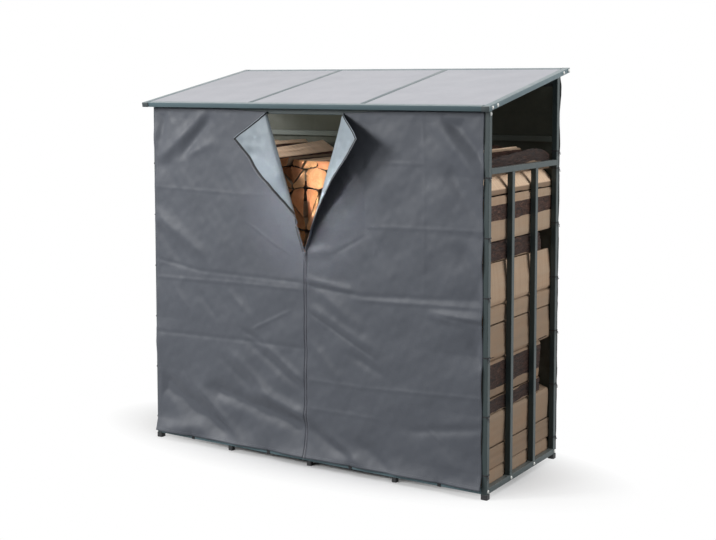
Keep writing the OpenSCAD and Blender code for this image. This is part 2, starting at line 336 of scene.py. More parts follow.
def material_of(name, maker, *args, **kwargs):
    """A material, made once."""
    return bpy.data.materials.get(name) or maker(name, *args, **kwargs)


def group_of(name, maker):
    """A node group, made once."""
    return bpy.data.node_groups.get(name) or maker(name)


def feed(tree, socket, value):
    """Links a socket to another one, or sets its value."""
    if isinstance(value, bpy.types.NodeSocket):
        tree.links.new(value, socket)
    elif socket.type == "RGBA":
        socket.default_value = (*tuple(value)[:3], 1)
    else:
        socket.default_value = value


def add_node(tree, kind, inputs=None, **settings):
    """Node with its settings, and its inputs linked or set by name or number."""
    node = tree.nodes.new(kind)
    for key, value in settings.items():
        setattr(node, key, value)
    for key, value in (inputs or {}).items():
        feed(tree, node.inputs[key], value)
    return node


def ramp(tree, factor, *stops):
    """Colour ramp through stops of a place and a colour or grey."""
    node = add_node(tree, "ShaderNodeValToRGB", {"Fac": factor})
    elements = node.color_ramp.elements
    while len(elements) < len(stops):
        elements.new(0.5)
    for element, (place, colour) in zip(elements, stops):
        element.position = place
        element.color = (*(tuple(colour) if hasattr(colour, "__len__") else (colour,) * 3), 1)
    return node.outputs["Color"]


def mix(tree, factor, first, second, blend="MIX"):
    """Mix of two colours."""
    inputs = {0: factor, 6: first, 7: second}
    return add_node(tree, "ShaderNodeMix", inputs, data_type="RGBA", blend_type=blend).outputs[2]


def maths(tree, operation, *values, clamp=False):
    """One step of arithmetic."""
    inputs = dict(enumerate(values))
    return add_node(tree, "ShaderNodeMath", inputs, operation=operation, use_clamp=clamp).outputs[0]


def scaled(colour, factor):
    """Colour made lighter or darker."""
    return tuple(min(1.0, c * factor) for c in tuple(colour)[:3])


def object_coords(tree, scale=(1, 1, 1), turn=(0, 0, 0)):
    """Object coordinates, stretched and turned."""
    coords = add_node(tree, "ShaderNodeTexCoord")
    return add_node(
        tree, "ShaderNodeMapping",
        {"Vector": coords.outputs["Object"], "Scale": scale, "Rotation": turn}).outputs["Vector"]


def cloud(tree, vector, scale, detail=4.0, rough=0.55, distortion=0.0):
    """Soft noise from 0 to 1."""
    return add_node(
        tree, "ShaderNodeTexNoise",
        {"Vector": vector, "Scale": scale, "Detail": detail, "Roughness": rough, "Distortion": distortion},
    ).outputs["Fac"]


def bump(tree, height, strength, distance):
    """Normal from a height."""
    return add_node(
        tree, "ShaderNodeBump", {"Height": height, "Strength": strength, "Distance": distance}).outputs["Normal"]


def distance_of(tree, vector, stretch):
    """Length of a vector after its parts are stretched."""
    flat = add_node(tree, "ShaderNodeVectorMath", {0: vector, 1: stretch}, operation="MULTIPLY")
    return add_node(tree, "ShaderNodeVectorMath", {0: flat.outputs[0]}, operation="LENGTH").outputs["Value"]


def new_group(name, kind, sockets_in, sockets_out):
    """Empty node group with named sockets."""
    tree = bpy.data.node_groups.new(name, kind)
    for label, socket_type, *default in sockets_in:
        socket = tree.interface.new_socket(label, in_out="INPUT", socket_type=socket_type)
        if default:
            socket.default_value = default[0]
    for label, socket_type in sockets_out:
        tree.interface.new_socket(label, in_out="OUTPUT", socket_type=socket_type)
    return tree, tree.nodes.new("NodeGroupInput").outputs, tree.nodes.new("NodeGroupOutput").inputs


def use_group(tree, group, inputs):
    """Places a shader group in a material."""
    node = tree.nodes.new("ShaderNodeGroup")
    node.node_tree = group
    for key, value in inputs.items():
        feed(tree, node.inputs[key], value)
    return node.outputs


# ---- shader groups


def dust_group(name):
    """Dust and weather: pale specks on what faces up, soft blotches all over."""
    tree, ins, outs = new_group(
        name, "ShaderNodeTree",
        [("Color", "NodeSocketColor", (0.5, 0.5, 0.5, 1)), ("Amount", "NodeSocketFloat", 0.2),
         ("Blotch", "NodeSocketFloat", 0.1), ("Size", "NodeSocketFloat", 6.0)],
        [("Color", "NodeSocketColor")])
    vector = object_coords(tree)
    up = add_node(tree, "ShaderNodeSeparateXYZ", {0: add_node(tree, "ShaderNodeNewGeometry").outputs["Normal"]})
    facing = maths(tree, "MULTIPLY", up.outputs["Z"], ins["Amount"], clamp=True)
    mask = maths(tree, "MULTIPLY", facing, cloud(tree, vector, 38.0, 6.0, 0.7), clamp=True)
    blotch = maths(tree, "SUBTRACT", cloud(tree, vector, ins["Size"], 3.0, 0.5), 0.5)
    toned = mix(tree, 1.0, ins["Color"], maths(tree, "MULTIPLY_ADD", blotch, ins["Blotch"], 1.0), "MULTIPLY")
    tree.links.new(mix(tree, mask, toned, (0.62, 0.60, 0.56)), outs["Color"])
    return tree


def weave_group(name):
    """Plain weave: warp and weft threads over and under, as a height and a shade."""
    tree, ins, outs = new_group(
        name, "ShaderNodeTree",
        [("Vector", "NodeSocketVector"), ("Threads", "NodeSocketFloat", 900.0)],
        [("Height", "NodeSocketFloat"), ("Shade", "NodeSocketFloat")])
    part = add_node(tree, "ShaderNodeSeparateXYZ", {0: ins["Vector"]})
    across, along = (
        maths(tree, "SINE", maths(tree, "MULTIPLY", part.outputs[axis], ins["Threads"])) for axis in "XZ")
    tree.links.new(
        maths(tree, "MULTIPLY_ADD", maths(tree, "MULTIPLY", across, along), 0.5, 0.5), outs["Height"])
    tree.links.new(cloud(tree, ins["Vector"], 60.0, 5.0, 0.7), outs["Shade"])
    return tree


def weathered(tree, colour, dust, blotch, size):
    """Colour under dust and soft blotches."""
    return use_group(
        tree, group_of("Dust", dust_group),
        {"Color": colour, "Amount": dust, "Blotch": blotch, "Size": size})["Color"]


def woven(tree, vector, threads):
    """Height and shade of a weave with so many threads."""
    return use_group(tree, group_of("Weave", weave_group), {"Vector": vector, "Threads": threads})


# ---- materials


def dress(tree, surface, colour, rough, normal=None, specular=None):
    """Feeds the Principled shader of a material."""
    for name, value in (
            ("Base Color", colour), ("Roughness", rough), ("Normal", normal), ("Specular IOR Level", specular)):
        if value is not None:
            feed(tree, surface.inputs[name], value)


def powder_coat(name, colour, dust=0.25):
    """Satin powder coat with a fine orange peel."""
    material, tree, surface = shader(name)
    vector = object_coords(tree)
    dress(
        tree, surface, weathered(tree, colour, dust, 0.22, 5.0),
        ramp(tree, cloud(tree, vector, 14.0), (0.3, 0.34), (0.75, 0.47)),
        bump(tree, cloud(tree, vector, 420.0, 2.0), 0.12, 0.0006), 0.35)
    return material


def panel_sheet(name, colour):
    """Roof panel with faint flutes up the slope."""
    flute_pitch = 0.0105
    material, tree, surface = shader(name)
    vector = object_coords(tree, turn=(-ROOF_PITCH, 0, 0))
    part = add_node(tree, "ShaderNodeSeparateXYZ", {0: vector})
    flute = maths(tree, "SINE", maths(tree, "MULTIPLY", part.outputs["X"], 2 * math.pi / flute_pitch))
    shade = maths(tree, "MULTIPLY_ADD", flute, 0.018, 1.0)
    dress(
        tree, surface, mix(tree, 1.0, weathered(tree, colour, 0.2, 0.12, 2.2), shade, "MULTIPLY"),
        ramp(tree, cloud(tree, vector, 6.0, 5.0), (0.25, 0.30), (0.8, 0.44)),
        bump(tree, flute, 0.08, 0.0005), 0.25)
    return material


def moulded_plastic(name, colour):
    """Matt moulded plastic with a fine spark texture."""
    material, tree, surface = shader(name)
    vector = object_coords(tree)
    dress(
        tree, surface, weathered(tree, colour, 0.3, 0.3, 24.0),
        ramp(tree, cloud(tree, vector, 90.0), (0.3, 0.48), (0.7, 0.62)),
        bump(tree, cloud(tree, vector, 1500.0, 2.0), 0.2, 0.0004))
    return material


def coated_fabric(name, colour, threads=1400.0, rough=(0.42, 0.56), blotch=0.1, depth=0.25):
    """Coated woven cloth: weave under a thin skin, with soft blotches: handling marks, and painted sheen patches
    where they are strong, as on the lining.
    """
    material, tree, surface = shader(name)
    vector = object_coords(tree)
    weave = woven(tree, vector, threads)
    shade = ramp(tree, weave["Shade"], (0.25, 0.93), (0.75, 1.0))
    grain = maths(tree, "MULTIPLY", cloud(tree, vector, 120.0), 1.5)
    crease = maths(tree, "ABSOLUTE", maths(tree, "SUBTRACT", cloud(tree, vector, 16.0, 5.0, 0.6, 0.8), 0.5))
    height = maths(
        tree, "ADD", maths(tree, "ADD", weave["Height"], grain), maths(tree, "MULTIPLY", crease, 4.0))
    dress(
        tree, surface, mix(tree, 1.0, weathered(tree, colour, 0.12, blotch, 7.0), shade, "MULTIPLY"),
        ramp(tree, cloud(tree, vector, 11.0, 5.0, 0.6), (0.3, rough[0]), (0.75, rough[1])),
        bump(tree, height, depth, 0.0006), 0.3)
    return material


def webbing(name):
    """Black ribbed webbing."""
    material, tree, surface = shader(name)
    weave = woven(tree, object_coords(tree), 2600.0)
    dress(
        # Colour darkens in the weave's hollows and lightens on its crowns: painted shade and highlight
        tree, surface, ramp(tree, weave["Height"], (0.2, srgb(18, 18, 20)), (0.9, srgb(48, 49, 53))),
        ramp(tree, weave["Shade"], (0.2, 0.7), (0.8, 0.9)), bump(tree, weave["Height"], 0.5, 0.0005))
    return material


def bolt_finish(name, colour):
    """Pale plastic cap with slight soiling."""
    material, tree, surface = shader(name)
    dress(
        tree, surface, weathered(tree, colour, 0.2, 0.3, 60.0),
        ramp(tree, cloud(tree, object_coords(tree), 200.0), (0.3, 0.25), (0.7, 0.4)))
    return material


def split_wood(name, settings):
    """Split log: pale grain on the split faces, rings on the sawn ends, speckled bark."""
    ring_pitch = 0.0072
    material, tree, surface = shader(name)
    tone, bark, cut = (
        add_node(tree, "ShaderNodeAttribute", attribute_name=key).outputs["Fac"] for key in ("tone", "bark", "cut"))
    pith = add_node(tree, "ShaderNodeAttribute", attribute_name="pith").outputs["Vector"]
    plain = object_coords(tree)

    def streaks(scale, *texture, turn=(0, 0, 0)):
        """Noise drawn out by a scale for each axis."""
        return cloud(tree, object_coords(tree, scale, turn), 1.0, *texture)

    def over(under, mask, stops, top):
        """One colour over another, through a ramp of a mask."""
        return mix(tree, ramp(tree, mask, *stops), under, top)

    fibre = streaks((130, 5, 130), 6.0, 0.65, 0.6)
    # Low tones make a paler split face: painted light on faces given them as they turn up to the lamps, random tone
    # elsewhere
    pale = mix(tree, tone, scaled(settings.split, 1.2), scaled(settings.split, 0.17))
    deep = mix(tree, tone, scaled(settings.grain, 2.0), scaled(settings.grain, 0.7))
    face = over(deep, fibre, [(0.25, 0.7), (0.70, 1.0)], pale)
    face = over(face, streaks((11, 3, 11), 3.0), [(0.4, 0.0), (0.75, 0.4)], deep)
    face = over(face, streaks((6, 95, 6), 2.0, 0.5), [(0.42, 0.0), (0.75, 0.26)], scaled(settings.grain, 0.7))

    wobble = maths(tree, "MULTIPLY", cloud(tree, plain, 26.0, 3.0), 0.012)
    radius = maths(tree, "ADD", distance_of(tree, pith, (1, 0, 1)), wobble)
    ring = maths(tree, "SINE", maths(tree, "MULTIPLY", radius, 2 * math.pi / ring_pitch))
    saw = streaks((20, 20, 170), 3.0, turn=(0, 0.5, 0))
    end = mix(tree, tone, srgb(255, 205, 146), scaled(settings.end, 1.1))
    end = over(end, ring, [(0.0, 0.0), (1.0, 0.5)], scaled(settings.end, 0.5))
    end = over(end, saw, [(0.4, 0.0), (0.75, 0.4)], scaled(settings.end, 1.3))
    end = over(end, cloud(tree, plain, 18.0, 5.0, 0.65), [(0.48, 0.0), (0.72, 0.4)], srgb(176, 92, 52))

    plate = streaks((85, 26, 85), 7.0, 0.72, 0.4)
    # Bark is darkest in its furrows, where the bump is low: partly the bark's own colour, partly painted shade
    rind = ramp(
        tree, plate, (0.36, srgb(30, 23, 21)), (0.50, scaled(settings.bark, 0.55)), (0.60, settings.bark),
        (0.72, srgb(138, 104, 88)))
    rind = over(rind, cloud(tree, plain, 7.0, 4.0, 0.6), [(0.45, 0.0), (0.7, 0.5)], srgb(58, 46, 42))
    rind = mix(tree, 1.0, rind, mix(tree, tone, (1.7,) * 3, (0.32,) * 3), "MULTIPLY")

    side = over(face, bark, [(0.42, 0.0), (0.58, 1.0)], rind)
    height = maths(tree, "ADD", maths(tree, "MULTIPLY", plate, bark), maths(tree, "MULTIPLY", fibre, 0.25))
    dress(
        tree, surface, mix(tree, cut, side, end), ramp(tree, fibre, (0.3, 0.80), (0.7, 0.64)),
        bump(tree, height, 0.6, 0.004), 0.2)
    return material


# ---- fabric

# Folds of the front cover: ends in centimetres from its middle and the ground,
# then half width and height in millimetres
FOLDS = [
    (-58, 159, -84, 138, 30, 9), (-82, 159, -85, 143, 26, -7), (-55, 157, -71, 140, 26, -7),
    (-53, 146, -66, 141, 22, 5), (-85, 124, -41, 123, 7, 1.6), (-41, 123, -14, 124, 7, 1.2),
    (-87, 111, -59, 93, 34, 8), (-86, 105, -73, 88, 30, -6), (-88, 89, -61, 85, 9, -3),
    (-61, 85, 0, 84, 9, -2.6), (-88, 80, -31, 81, 8, 2.6), (-31, 81, -1, 81, 8, 2.2), (-75, 74, -69, 66, 18, 3),
    (-61, 74, -52, 64, 20, -3.5), (-45, 77, -34, 68, 18, 3), (-36, 80, -31, 69, 18, -3),
    (-31, 109, -9, 97, 8, 3.4), (-10, 70, -30, 60, 8, 3.2), (-36, 59, -22, 53, 16, -4),
    (-88, 53, -35, 54, 10, -2.8), (-35, 54, -1, 54, 10, -2.4), (-33, 54, -4, 36, 20, -5),
    (-25, 55, -2, 39, 18, 5), (-42, 47, -22, 32, 24, 5), (-48, 44, -32, 32, 22, -4), (-26, 31, -1, 23, 28, 11),
    (-54, 29, -1, 17, 36, -11), (-86, 29, -44, 7, 46, -12), (-62, 28, -40, 9, 24, 8), (-84, 6, -58, 9, 40, 9),
    (30, 127, 31, 108, 9, -2.6), (60, 158, 61, 140, 8, 1.6), (61, 140, 61, 82, 8, 1),
    (42, 140, 60, 140, 8, 1.8), (31, 112, 88, 113, 8, 1.8), (73, 159, 89, 142, 34, -9),
    (67, 158, 89, 132, 34, 7), (72, 138, 88, 116, 34, -8), (78, 105, 89, 89, 34, -7),
    (16, 99, 30, 107, 9, -3.4), (2, 98, 13, 100, 26, 7), (2, 86, 24, 83, 18, 5), (2, 83, 30, 81, 11, -4),
    (30, 81, 88, 84, 12, -3.2), (28, 79, 88, 81, 9, 2.8), (8, 81, 28, 67, 30, 6), (2, 71, 36, 54, 9, -4.2),
    (4, 73, 36, 58, 24, 5), (65, 76, 89, 76, 22, 7), (68, 76, 89, 74, 11, -5.5), (2, 40, 30, 40, 8, 1.8),
    (30, 40, 89, 43, 8, 2), (2, 58, 18, 42, 22, 4), (24, 54, 40, 47, 20, -4), (2, 27, 39, 27, 9, 1.8),
    (2, 18, 24, 6, 30, -8), (29, 15, 44, 4, 30, -7), (10, 17, 30, 6, 26, 5), (62, 27, 69, 22, 8, 2.6),
    (54, 24, 89, 30, 20, -4), (16, 7, 29, 6, 26, 6), (68, 14, 88, 10, 40, 6), (85, 69, 88, 58, 30, -5),
]

# What differs between the left half of the front cover (-1) and the right half (1), in metres: how much
# narrower it is cut, how far above the slider its fold starts, the shares of the fold's length between which
# the flap turns over, how far the flap's edge laps past the middle, how far the half is drawn aside and bows
# at the zip, and the distances from the middle between which its side edge goes slack
HALVES = {
    -1: {"narrow": 0.007, "fold_up": 0.122, "rise": (0.30, 0.68), "lap": 0.028, "spread": 0.036, "bow": 0.0,
         "slack": (0.6, 0.9)},
    1: {"narrow": 0.0, "fold_up": 0.0, "rise": (0.2, 1.0), "lap": 0.004, "spread": 0.0, "bow": 0.012,
        "slack": (0.5, 0.85)},
}


def ripple(x, z, seed, count, shortest, longest):
    """Sum of soft waves in fixed directions, about -1 to 1."""
    rng = np.random.default_rng(seed)
    total = np.zeros_like(x)
    for _ in range(count):
        angle = rng.uniform(0, math.pi)
        length = math.exp(rng.uniform(math.log(shortest), math.log(longest)))
        total += np.sin((x * math.cos(angle) + z * math.sin(angle)) * 2 * math.pi / length + rng.uniform(0, 6.28))
    return total / math.sqrt(count)


def fold_height(x, z, crumple):
    """Height of the folds at places on the cover, in metres."""
    fade_over, broad, narrow_strength = 0.05, 15, 0.55
    height = np.zeros_like(x)
    for x0, z0, x1, z1, half, rise in FOLDS:
        ax, az, dx, dz = x0 / 100, z0 / 100, (x1 - x0) / 100, (z1 - z0) / 100
        length = math.hypot(dx, dz)
        along = ((x - ax) * dx + (z - az) * dz) / length
        aside = ((x - ax) * dz - (z - az) * dx) / length
        fade = share(along, -fade_over, fade_over) * share(along, length + fade_over, length - fade_over)
        strength = crumple if half > broad else narrow_strength * crumple
        height += strength * rise / 1000 * soft(fade) * np.exp(-((aside / (half / 1000)) ** 2))
    return height


def tie_wave(z):
    """Wave that is zero at each tie."""
    return np.sin(math.pi * (z - TIE_TOP) / TIE_PITCH)


def edge_room(x, z):
    """How far the front cover may sink at a place: nothing on the posts and rails, more between them."""
    left, right = LEFT_X + TUBE - COVER_X, RIGHT_X - TUBE - COVER_X
    room = np.minimum.reduce([x - left, right - x, z - RAIL_HIGH.z, TOP_RAIL_LOW - z]) - 0.004
    return np.clip(room * 0.35, 0, MOST_SUNK)


# Points across a flap
FLAP_COLUMNS = 44


class FrontFabric:
    """One half of the front cover, as a flat cut that is hung and folded back."""

    def __init__(self, settings, side):
        hand = "left" if side < 0 else "right"
        self.side, self.shape = side, HALVES[side]
        self.inner, self.crumple = settings.zip_half, settings.crumple
        self.open, self.lift, self.stand, self.roll = (
            getattr(settings, f"{word}_{hand}") for word in ("open", "lift", "stand", "roll"))
        self.half = (RIGHT_X - LEFT_X - settings.right_inset) / 2 - self.shape["narrow"]
        self.low, self.top = COVER_LOW, COVER_TOP
        self.zip_z = self.top - settings.zip_open
        self.fold_z = self.zip_z + self.shape["fold_up"]
        self.turn = math.atan2(self.top - self.fold_z, self.open - self.inner)
        self.fold_length = (self.top - self.fold_z) / math.sin(self.turn)

    def fold_x(self, z):
        """Flat distance from the zip's middle to the fold, or to the fabric's edge below it."""
        return self.inner + (self.open - self.inner) * share(z, self.fold_z, self.top)

    def edge_x(self, z):
        """Flat distance from the zip's middle to the flap's edge, past the middle where the zip is open."""
        return self.inner - self.shape["lap"] * share(z, self.fold_z, self.fold_z + 0.2)

    def lift_at(self, along):
        """Angle between the flap and its cover at a share of the fold's length."""
        return self.stand + (self.lift - self.stand) * soft(share(along, *self.shape["rise"]))

    def relief(self, across, z):
        """How far the hung fabric stands out at a flat place."""
        x = self.side * across
        height = fold_height(x, z, self.crumple)
        height += 0.0016 * self.crumple * ripple(x, z, 11, 14, 0.12, 0.6)
        height += 0.0004 * self.crumple * ripple(x, z, 12, 16, 0.04, 0.11)
        strap = np.abs(np.cos((x + COVER_X - LEFT_X) * math.pi * STRAPS / (RIGHT_X - LEFT_X))) ** 0.7
        height += 0.019 * (1 - share(z, self.low, self.low + 0.11)) ** 2.2 * (0.3 + 0.7 * strap)
        height += 0.0025 * share(z, self.top - 0.05, self.top)
        height += 0.005 * share(across, *self.shape["slack"]) * np.abs(tie_wave(z))
        if self.side > 0:
            pull_end = 0.301
            pull = np.clip((pull_end - x) / np.maximum(pull_end - self.fold_x(z), 0.02), 0, 1)
            height += 0.016 * pull * share(z, self.zip_z, self.zip_z + 0.12) * share(z, self.top, self.top - 0.25)
        return np.clip(height, -edge_room(x, z), 0.030)

    def parted(self, across, z):
        """How far the fabric is drawn aside from the open zip, most where its fold starts."""
        if not self.shape["spread"]:
            return np.zeros_like(across)
        below = (z - self.zip_z) / (self.fold_z - self.zip_z)
        above = (self.top - z) / (self.top - self.fold_z)
        near = share(across - self.fold_x(z), 0.3, 0)
        return self.shape["spread"] * np.clip(np.minimum(below, above), 0, 1) * soft(near)

    def place(self, across, z):
        """Hung position of flat places."""
        sine, cosine = math.sin(self.turn), math.cos(self.turn)
        least_radius, least_out = 0.0028, 0.0022
        # Along the fold and off it, then round its roll and out with what is left of the flap
        du, dz = across - self.inner, z - self.fold_z
        along = du * cosine + dz * sine
        aside = -du * sine + dz * cosine
        flap = (aside > 0) & (z > self.fold_z)
        aside = np.where(flap, aside, 0.0)
        up = share(along, 0, self.fold_length)
        radius = least_radius + (self.roll - least_radius) * np.clip(1 - ((up - 0.32) / 0.85) ** 2, 0, 1)
        bend = math.pi - self.lift_at(up)
        spent = np.minimum(aside, radius * bend)
        angle = spent / radius
        rest = aside - spent
        shift = radius * np.sin(angle) + rest * np.cos(bend)
        out = radius * (1 - np.cos(angle)) + rest * np.sin(bend)
        out += 0.010 * (rest / 0.19) ** 2 if self.side > 0 else 0.0
        clear = share(rest, 0, 0.03)
        out += 0.0014 * clear * ripple(along, aside, 31 + self.side, 10, 0.04, 0.14)
        out += 0.0030 * clear * ripple(along, aside, 35 + self.side, 5, 0.12, 0.3)
        out = np.where(flap, np.maximum(out, np.minimum(aside, least_out)), 0)
        # The flap leaves from the fold, and all else from its own place
        base_across = np.where(flap, self.inner + along * cosine, across)
        base_z = np.where(flap, self.fold_z + along * sine, z)
        parted = self.parted(base_across, base_z)
        height = self.relief(base_across, base_z) + out + 0.25 * parted
        hung_across = base_across + parted - np.where(flap, shift * sine, 0)
        hung_z = base_z + np.where(flap, shift * cosine, 0)
        # The left flap is drawn up and outwards
        if self.side < 0:
            hung_z = hung_z + np.where(flap, 0.14 * rest, 0)
            hung_across = hung_across + np.where(flap, 0.05 * rest * up, 0)
        # The right half bows beside the opening, both halves sag there,
        # and the right edge draws in between its ties
        near = share(base_across, self.open + 0.22, self.open)
        bow = self.shape["bow"] * np.sin(math.pi * share(base_z, self.zip_z, self.top))
        hung_across = hung_across + bow * soft(near)
        sag = soft(share(base_across, 0.5, 0.22)) * share(base_z, self.zip_z, self.zip_z + 0.6)
        hung_z = hung_z - 0.012 * sag
        if self.side > 0:
            hung_across = hung_across - 0.0025 * tie_wave(z) ** 2 * share(across, 0.8, self.half) ** 2
        return np.stack([COVER_X + self.side * hung_across, FRONT_Y - HANG_GAP - height, hung_z], -1)

    def block(self, rows, first, last, steps):
        """Hung points of a grid, row by row from a first to a last flat edge."""
        across = first[:, None] + (last - first)[:, None] * steps
        return self.place(across.ravel(), np.repeat(rows, len(steps)))

    def mesh(self, step):
        """Points and faces of the hung half: the cover, its flap and the fan where the fold starts."""
        low_rows = np.linspace(self.low, self.fold_z, max(2, round((self.fold_z - self.low) / step)))
        flap_rows = np.linspace(self.fold_z, self.top, max(2, round((self.top - self.fold_z) / step)))[1:]
        rows = np.concatenate([low_rows, flap_rows])
        cols, flap_cols = round((self.half - self.inner) / step), FLAP_COLUMNS
        cover = self.block(rows, np.full_like(rows, self.half), self.fold_x(rows), np.linspace(0, 1, cols))
        flap = self.block(
            flap_rows, self.fold_x(flap_rows), self.edge_x(flap_rows), np.linspace(0, 1, flap_cols) ** 1.7)
        start, apex = len(cover), len(low_rows) * cols - 1
        faces = [*grid_faces(len(rows), cols), *grid_faces(len(flap_rows), flap_cols, start)]
        faces += [(apex, start + i + 1, start + i) for i in range(flap_cols - 1)]
        return np.concatenate([cover, flap]), faces


def hung_sheet(name, points, faces, materials, thickness, outward):
    """Sheet of fabric with its thickness, outside towards a direction, finished outside, inside and at its hem."""
    piece = new_piece(name, points, faces)
    for material in materials:
        piece.data.materials.append(material)
    graph = bmesh.new()
    graph.from_mesh(piece.data)
    bmesh.ops.remove_doubles(graph, verts=graph.verts, dist=1e-6)
    bmesh.ops.recalc_face_normals(graph, faces=graph.faces)
    largest = sum((f.normal * f.calc_area() for f in graph.faces), Vector())
    if largest.dot(Vector(outward)) < 0:
        bmesh.ops.reverse_faces(graph, faces=graph.faces)
    graph.to_mesh(piece.data)
    graph.free()
    return thicken(piece, thickness, 1, 2)


# ---- geometry nodes


def modifier_tree(name, **lengths):
    """Geometry Nodes tree with a geometry input and output, named lengths and a material."""
    tree, ins, outs = new_group(
        name, "GeometryNodeTree",
        [("Geometry", "NodeSocketGeometry"),
         *((label, "NodeSocketFloat", default) for label, default in lengths.items()),
         ("Material", "NodeSocketMaterial")],
        [("Geometry", "NodeSocketGeometry")])
    tree.is_modifier = True
    return tree, ins, outs


def set_inputs(modifier, values):
    """Sets a modifier's inputs by the names of their sockets."""
    for item in modifier.node_group.interface.items_tree:
        if item.item_type == "SOCKET" and item.in_out == "INPUT" and item.name in values:
            modifier[item.identifier] = values[item.name]


def stored_facing(tree):
    """Direction stored with each point."""
    return add_node(
        tree, "GeometryNodeInputNamedAttribute", {"Name": "facing"}, data_type="FLOAT_VECTOR").outputs[0]


def along_and_facing(tree):
    """Rotation with Z along the path and Y towards the stored facing."""
    tangent = add_node(tree, "GeometryNodeInputTangent").outputs[0]
    first = add_node(tree, "FunctionNodeAlignRotationToVector", {"Vector": tangent}, axis="Z")
    return add_node(
        tree, "FunctionNodeAlignRotationToVector",
        {"Rotation": first.outputs[0], "Vector": stored_facing(tree)}, axis="Y", pivot_axis="Z").outputs[0]


def path_points(tree, ins):
    """Points one pitch apart along the paths."""
    curve = add_node(tree, "GeometryNodeMeshToCurve", {0: ins["Geometry"]})
    return add_node(
        tree, "GeometryNodeResampleCurve", {"Curve": curve.outputs[0], "Length": ins["Pitch"]},
        mode="LENGTH").outputs[0]


def set_on_points(tree, ins, outs, points, shapes, rotation):
    """Sets the joined shapes on each point, realizes them, gives them their material and ends the tree."""
    whole = add_node(tree, "GeometryNodeJoinGeometry")
    for shape in shapes:
        tree.links.new(shape, whole.inputs[0])
    placed = add_node(
        tree, "GeometryNodeInstanceOnPoints",
        {"Points": points, "Instance": whole.outputs[0], "Rotation": rotation})
    real = add_node(tree, "GeometryNodeRealizeInstances", {0: placed.outputs[0]})
    coated = add_node(tree, "GeometryNodeSetMaterial", {"Geometry": real.outputs[0], "Material": ins["Material"]})
    tree.links.new(coated.outputs[0], outs[0])
    return tree


def zip_teeth_tree(name):
    """Teeth side by side along a path, each a small block with a narrower neck."""
    tree, ins, outs = modifier_tree(name, Pitch=0.0032, Width=0.005, Height=0.0022)

    def block(**shares):
        """Block with sides in shares of the named lengths."""
        sides = [maths(tree, "MULTIPLY", ins[label], part) for label, part in shares.items()]
        size = add_node(tree, "ShaderNodeCombineXYZ", dict(zip("XYZ", sides)))
        return add_node(tree, "GeometryNodeMeshCube", {"Size": size.outputs[0]}).outputs["Mesh"]

    head, neck = block(Width=1.0, Height=1.0, Pitch=0.62), block(Width=1.5, Height=0.5, Pitch=0.4)
    return set_on_points(tree, ins, outs, path_points(tree, ins), (head, neck), along_and_facing(tree))


def stitch_tree(name):
    """Short threads in line along a path."""
    tree, ins, outs = modifier_tree(name, Pitch=0.006, Thread=0.0005)
    depth = maths(tree, "MULTIPLY", ins["Pitch"], 0.68)
    thread = add_node(
        tree, "GeometryNodeMeshCylinder", {"Vertices": 6, "Radius": ins["Thread"], "Depth": depth}).outputs["Mesh"]
    return set_on_points(tree, ins, outs, path_points(tree, ins), (thread,), along_and_facing(tree))


def bolt_tree(name):
    """A washer and a domed cap at each point, turned to its facing."""
    tree, ins, outs = modifier_tree(name, Radius=0.006)
    points = add_node(tree, "GeometryNodeMeshToPoints", {0: ins["Geometry"]}).outputs[0]
    wide = maths(tree, "MULTIPLY", ins["Radius"], 1.25)
    washer = add_node(tree, "GeometryNodeMeshCylinder", {"Vertices": 20, "Radius": wide, "Depth": 0.0016})
    dome = add_node(tree, "GeometryNodeMeshUVSphere", {"Segments": 20, "Rings": 10, "Radius": ins["Radius"]})
    shapes = [
        add_node(
            tree, "GeometryNodeTransform",
            {"Geometry": part.outputs["Mesh"], "Translation": (0, 0, lift), "Scale": (1, 1, flat)}).outputs[0]
        for part, lift, flat in ((washer, 0.0009, 1), (dome, 0.0016, 0.55))]
    turn = add_node(tree, "FunctionNodeAlignRotationToVector", {"Vector": stored_facing(tree)}, axis="Z")
    return set_on_points(tree, ins, outs, points, shapes, turn.outputs[0])


def grown(name, tree, paths, facings, **values):
    """Piece made by a tree along paths of points, each point with its facing."""
    verts, edges, facing = [], [], []
    for path, face in zip(paths, facings):
        start = len(verts)
        verts += [tuple(map(float, p)) for p in path]
        facing += [tuple(map(float, f)) for f in face]
        edges += [(start + i, start + i + 1) for i in range(len(path) - 1)]
    mesh = bpy.data.meshes.new(name)
    mesh.from_pydata(verts, edges, [])
    add_attribute(mesh, "facing", "FLOAT_VECTOR", "POINT", facing)
    piece = linked(name, mesh)
    modifier = piece.modifiers.new(tree.name, "NODES")
    modifier.node_group = tree
    set_inputs(modifier, values)
    return freeze(piece)


# ---- webbing

# Widths of a strap and a tie, their thickness, their gap to the tubes, how far a corner is rounded,
# the size of a knot and the ties beside each front post
STRAP_WIDTH, TIE_WIDTH = 0.017, 0.006
WEBBING_THICKNESS = 0.0013
WEBBING_GAP = 0.0012
WEBBING_BEND = 0.003
KNOT_SIZE = 0.0036
TIES = 6


def rounded_path(corners, radius, steps=5):
    """Path through corners in a plane, with each inner corner rounded."""
    corners = [np.asarray(c, float) for c in corners]
    path = [corners[0]]
    for before, corner, after in zip(corners, corners[1:], corners[2:]):
        into, out = before - corner, after - corner
        cut = min(radius, 0.45 * np.linalg.norm(into), 0.45 * np.linalg.norm(out))
        start = corner + into / np.linalg.norm(into) * cut
        end = corner + out / np.linalg.norm(out) * cut
        for t in np.linspace(0, 1, steps):
            path.append((1 - t) ** 2 * start + 2 * t * (1 - t) * corner + t * t * end)
    path.append(corners[-1])
    return np.array(path)


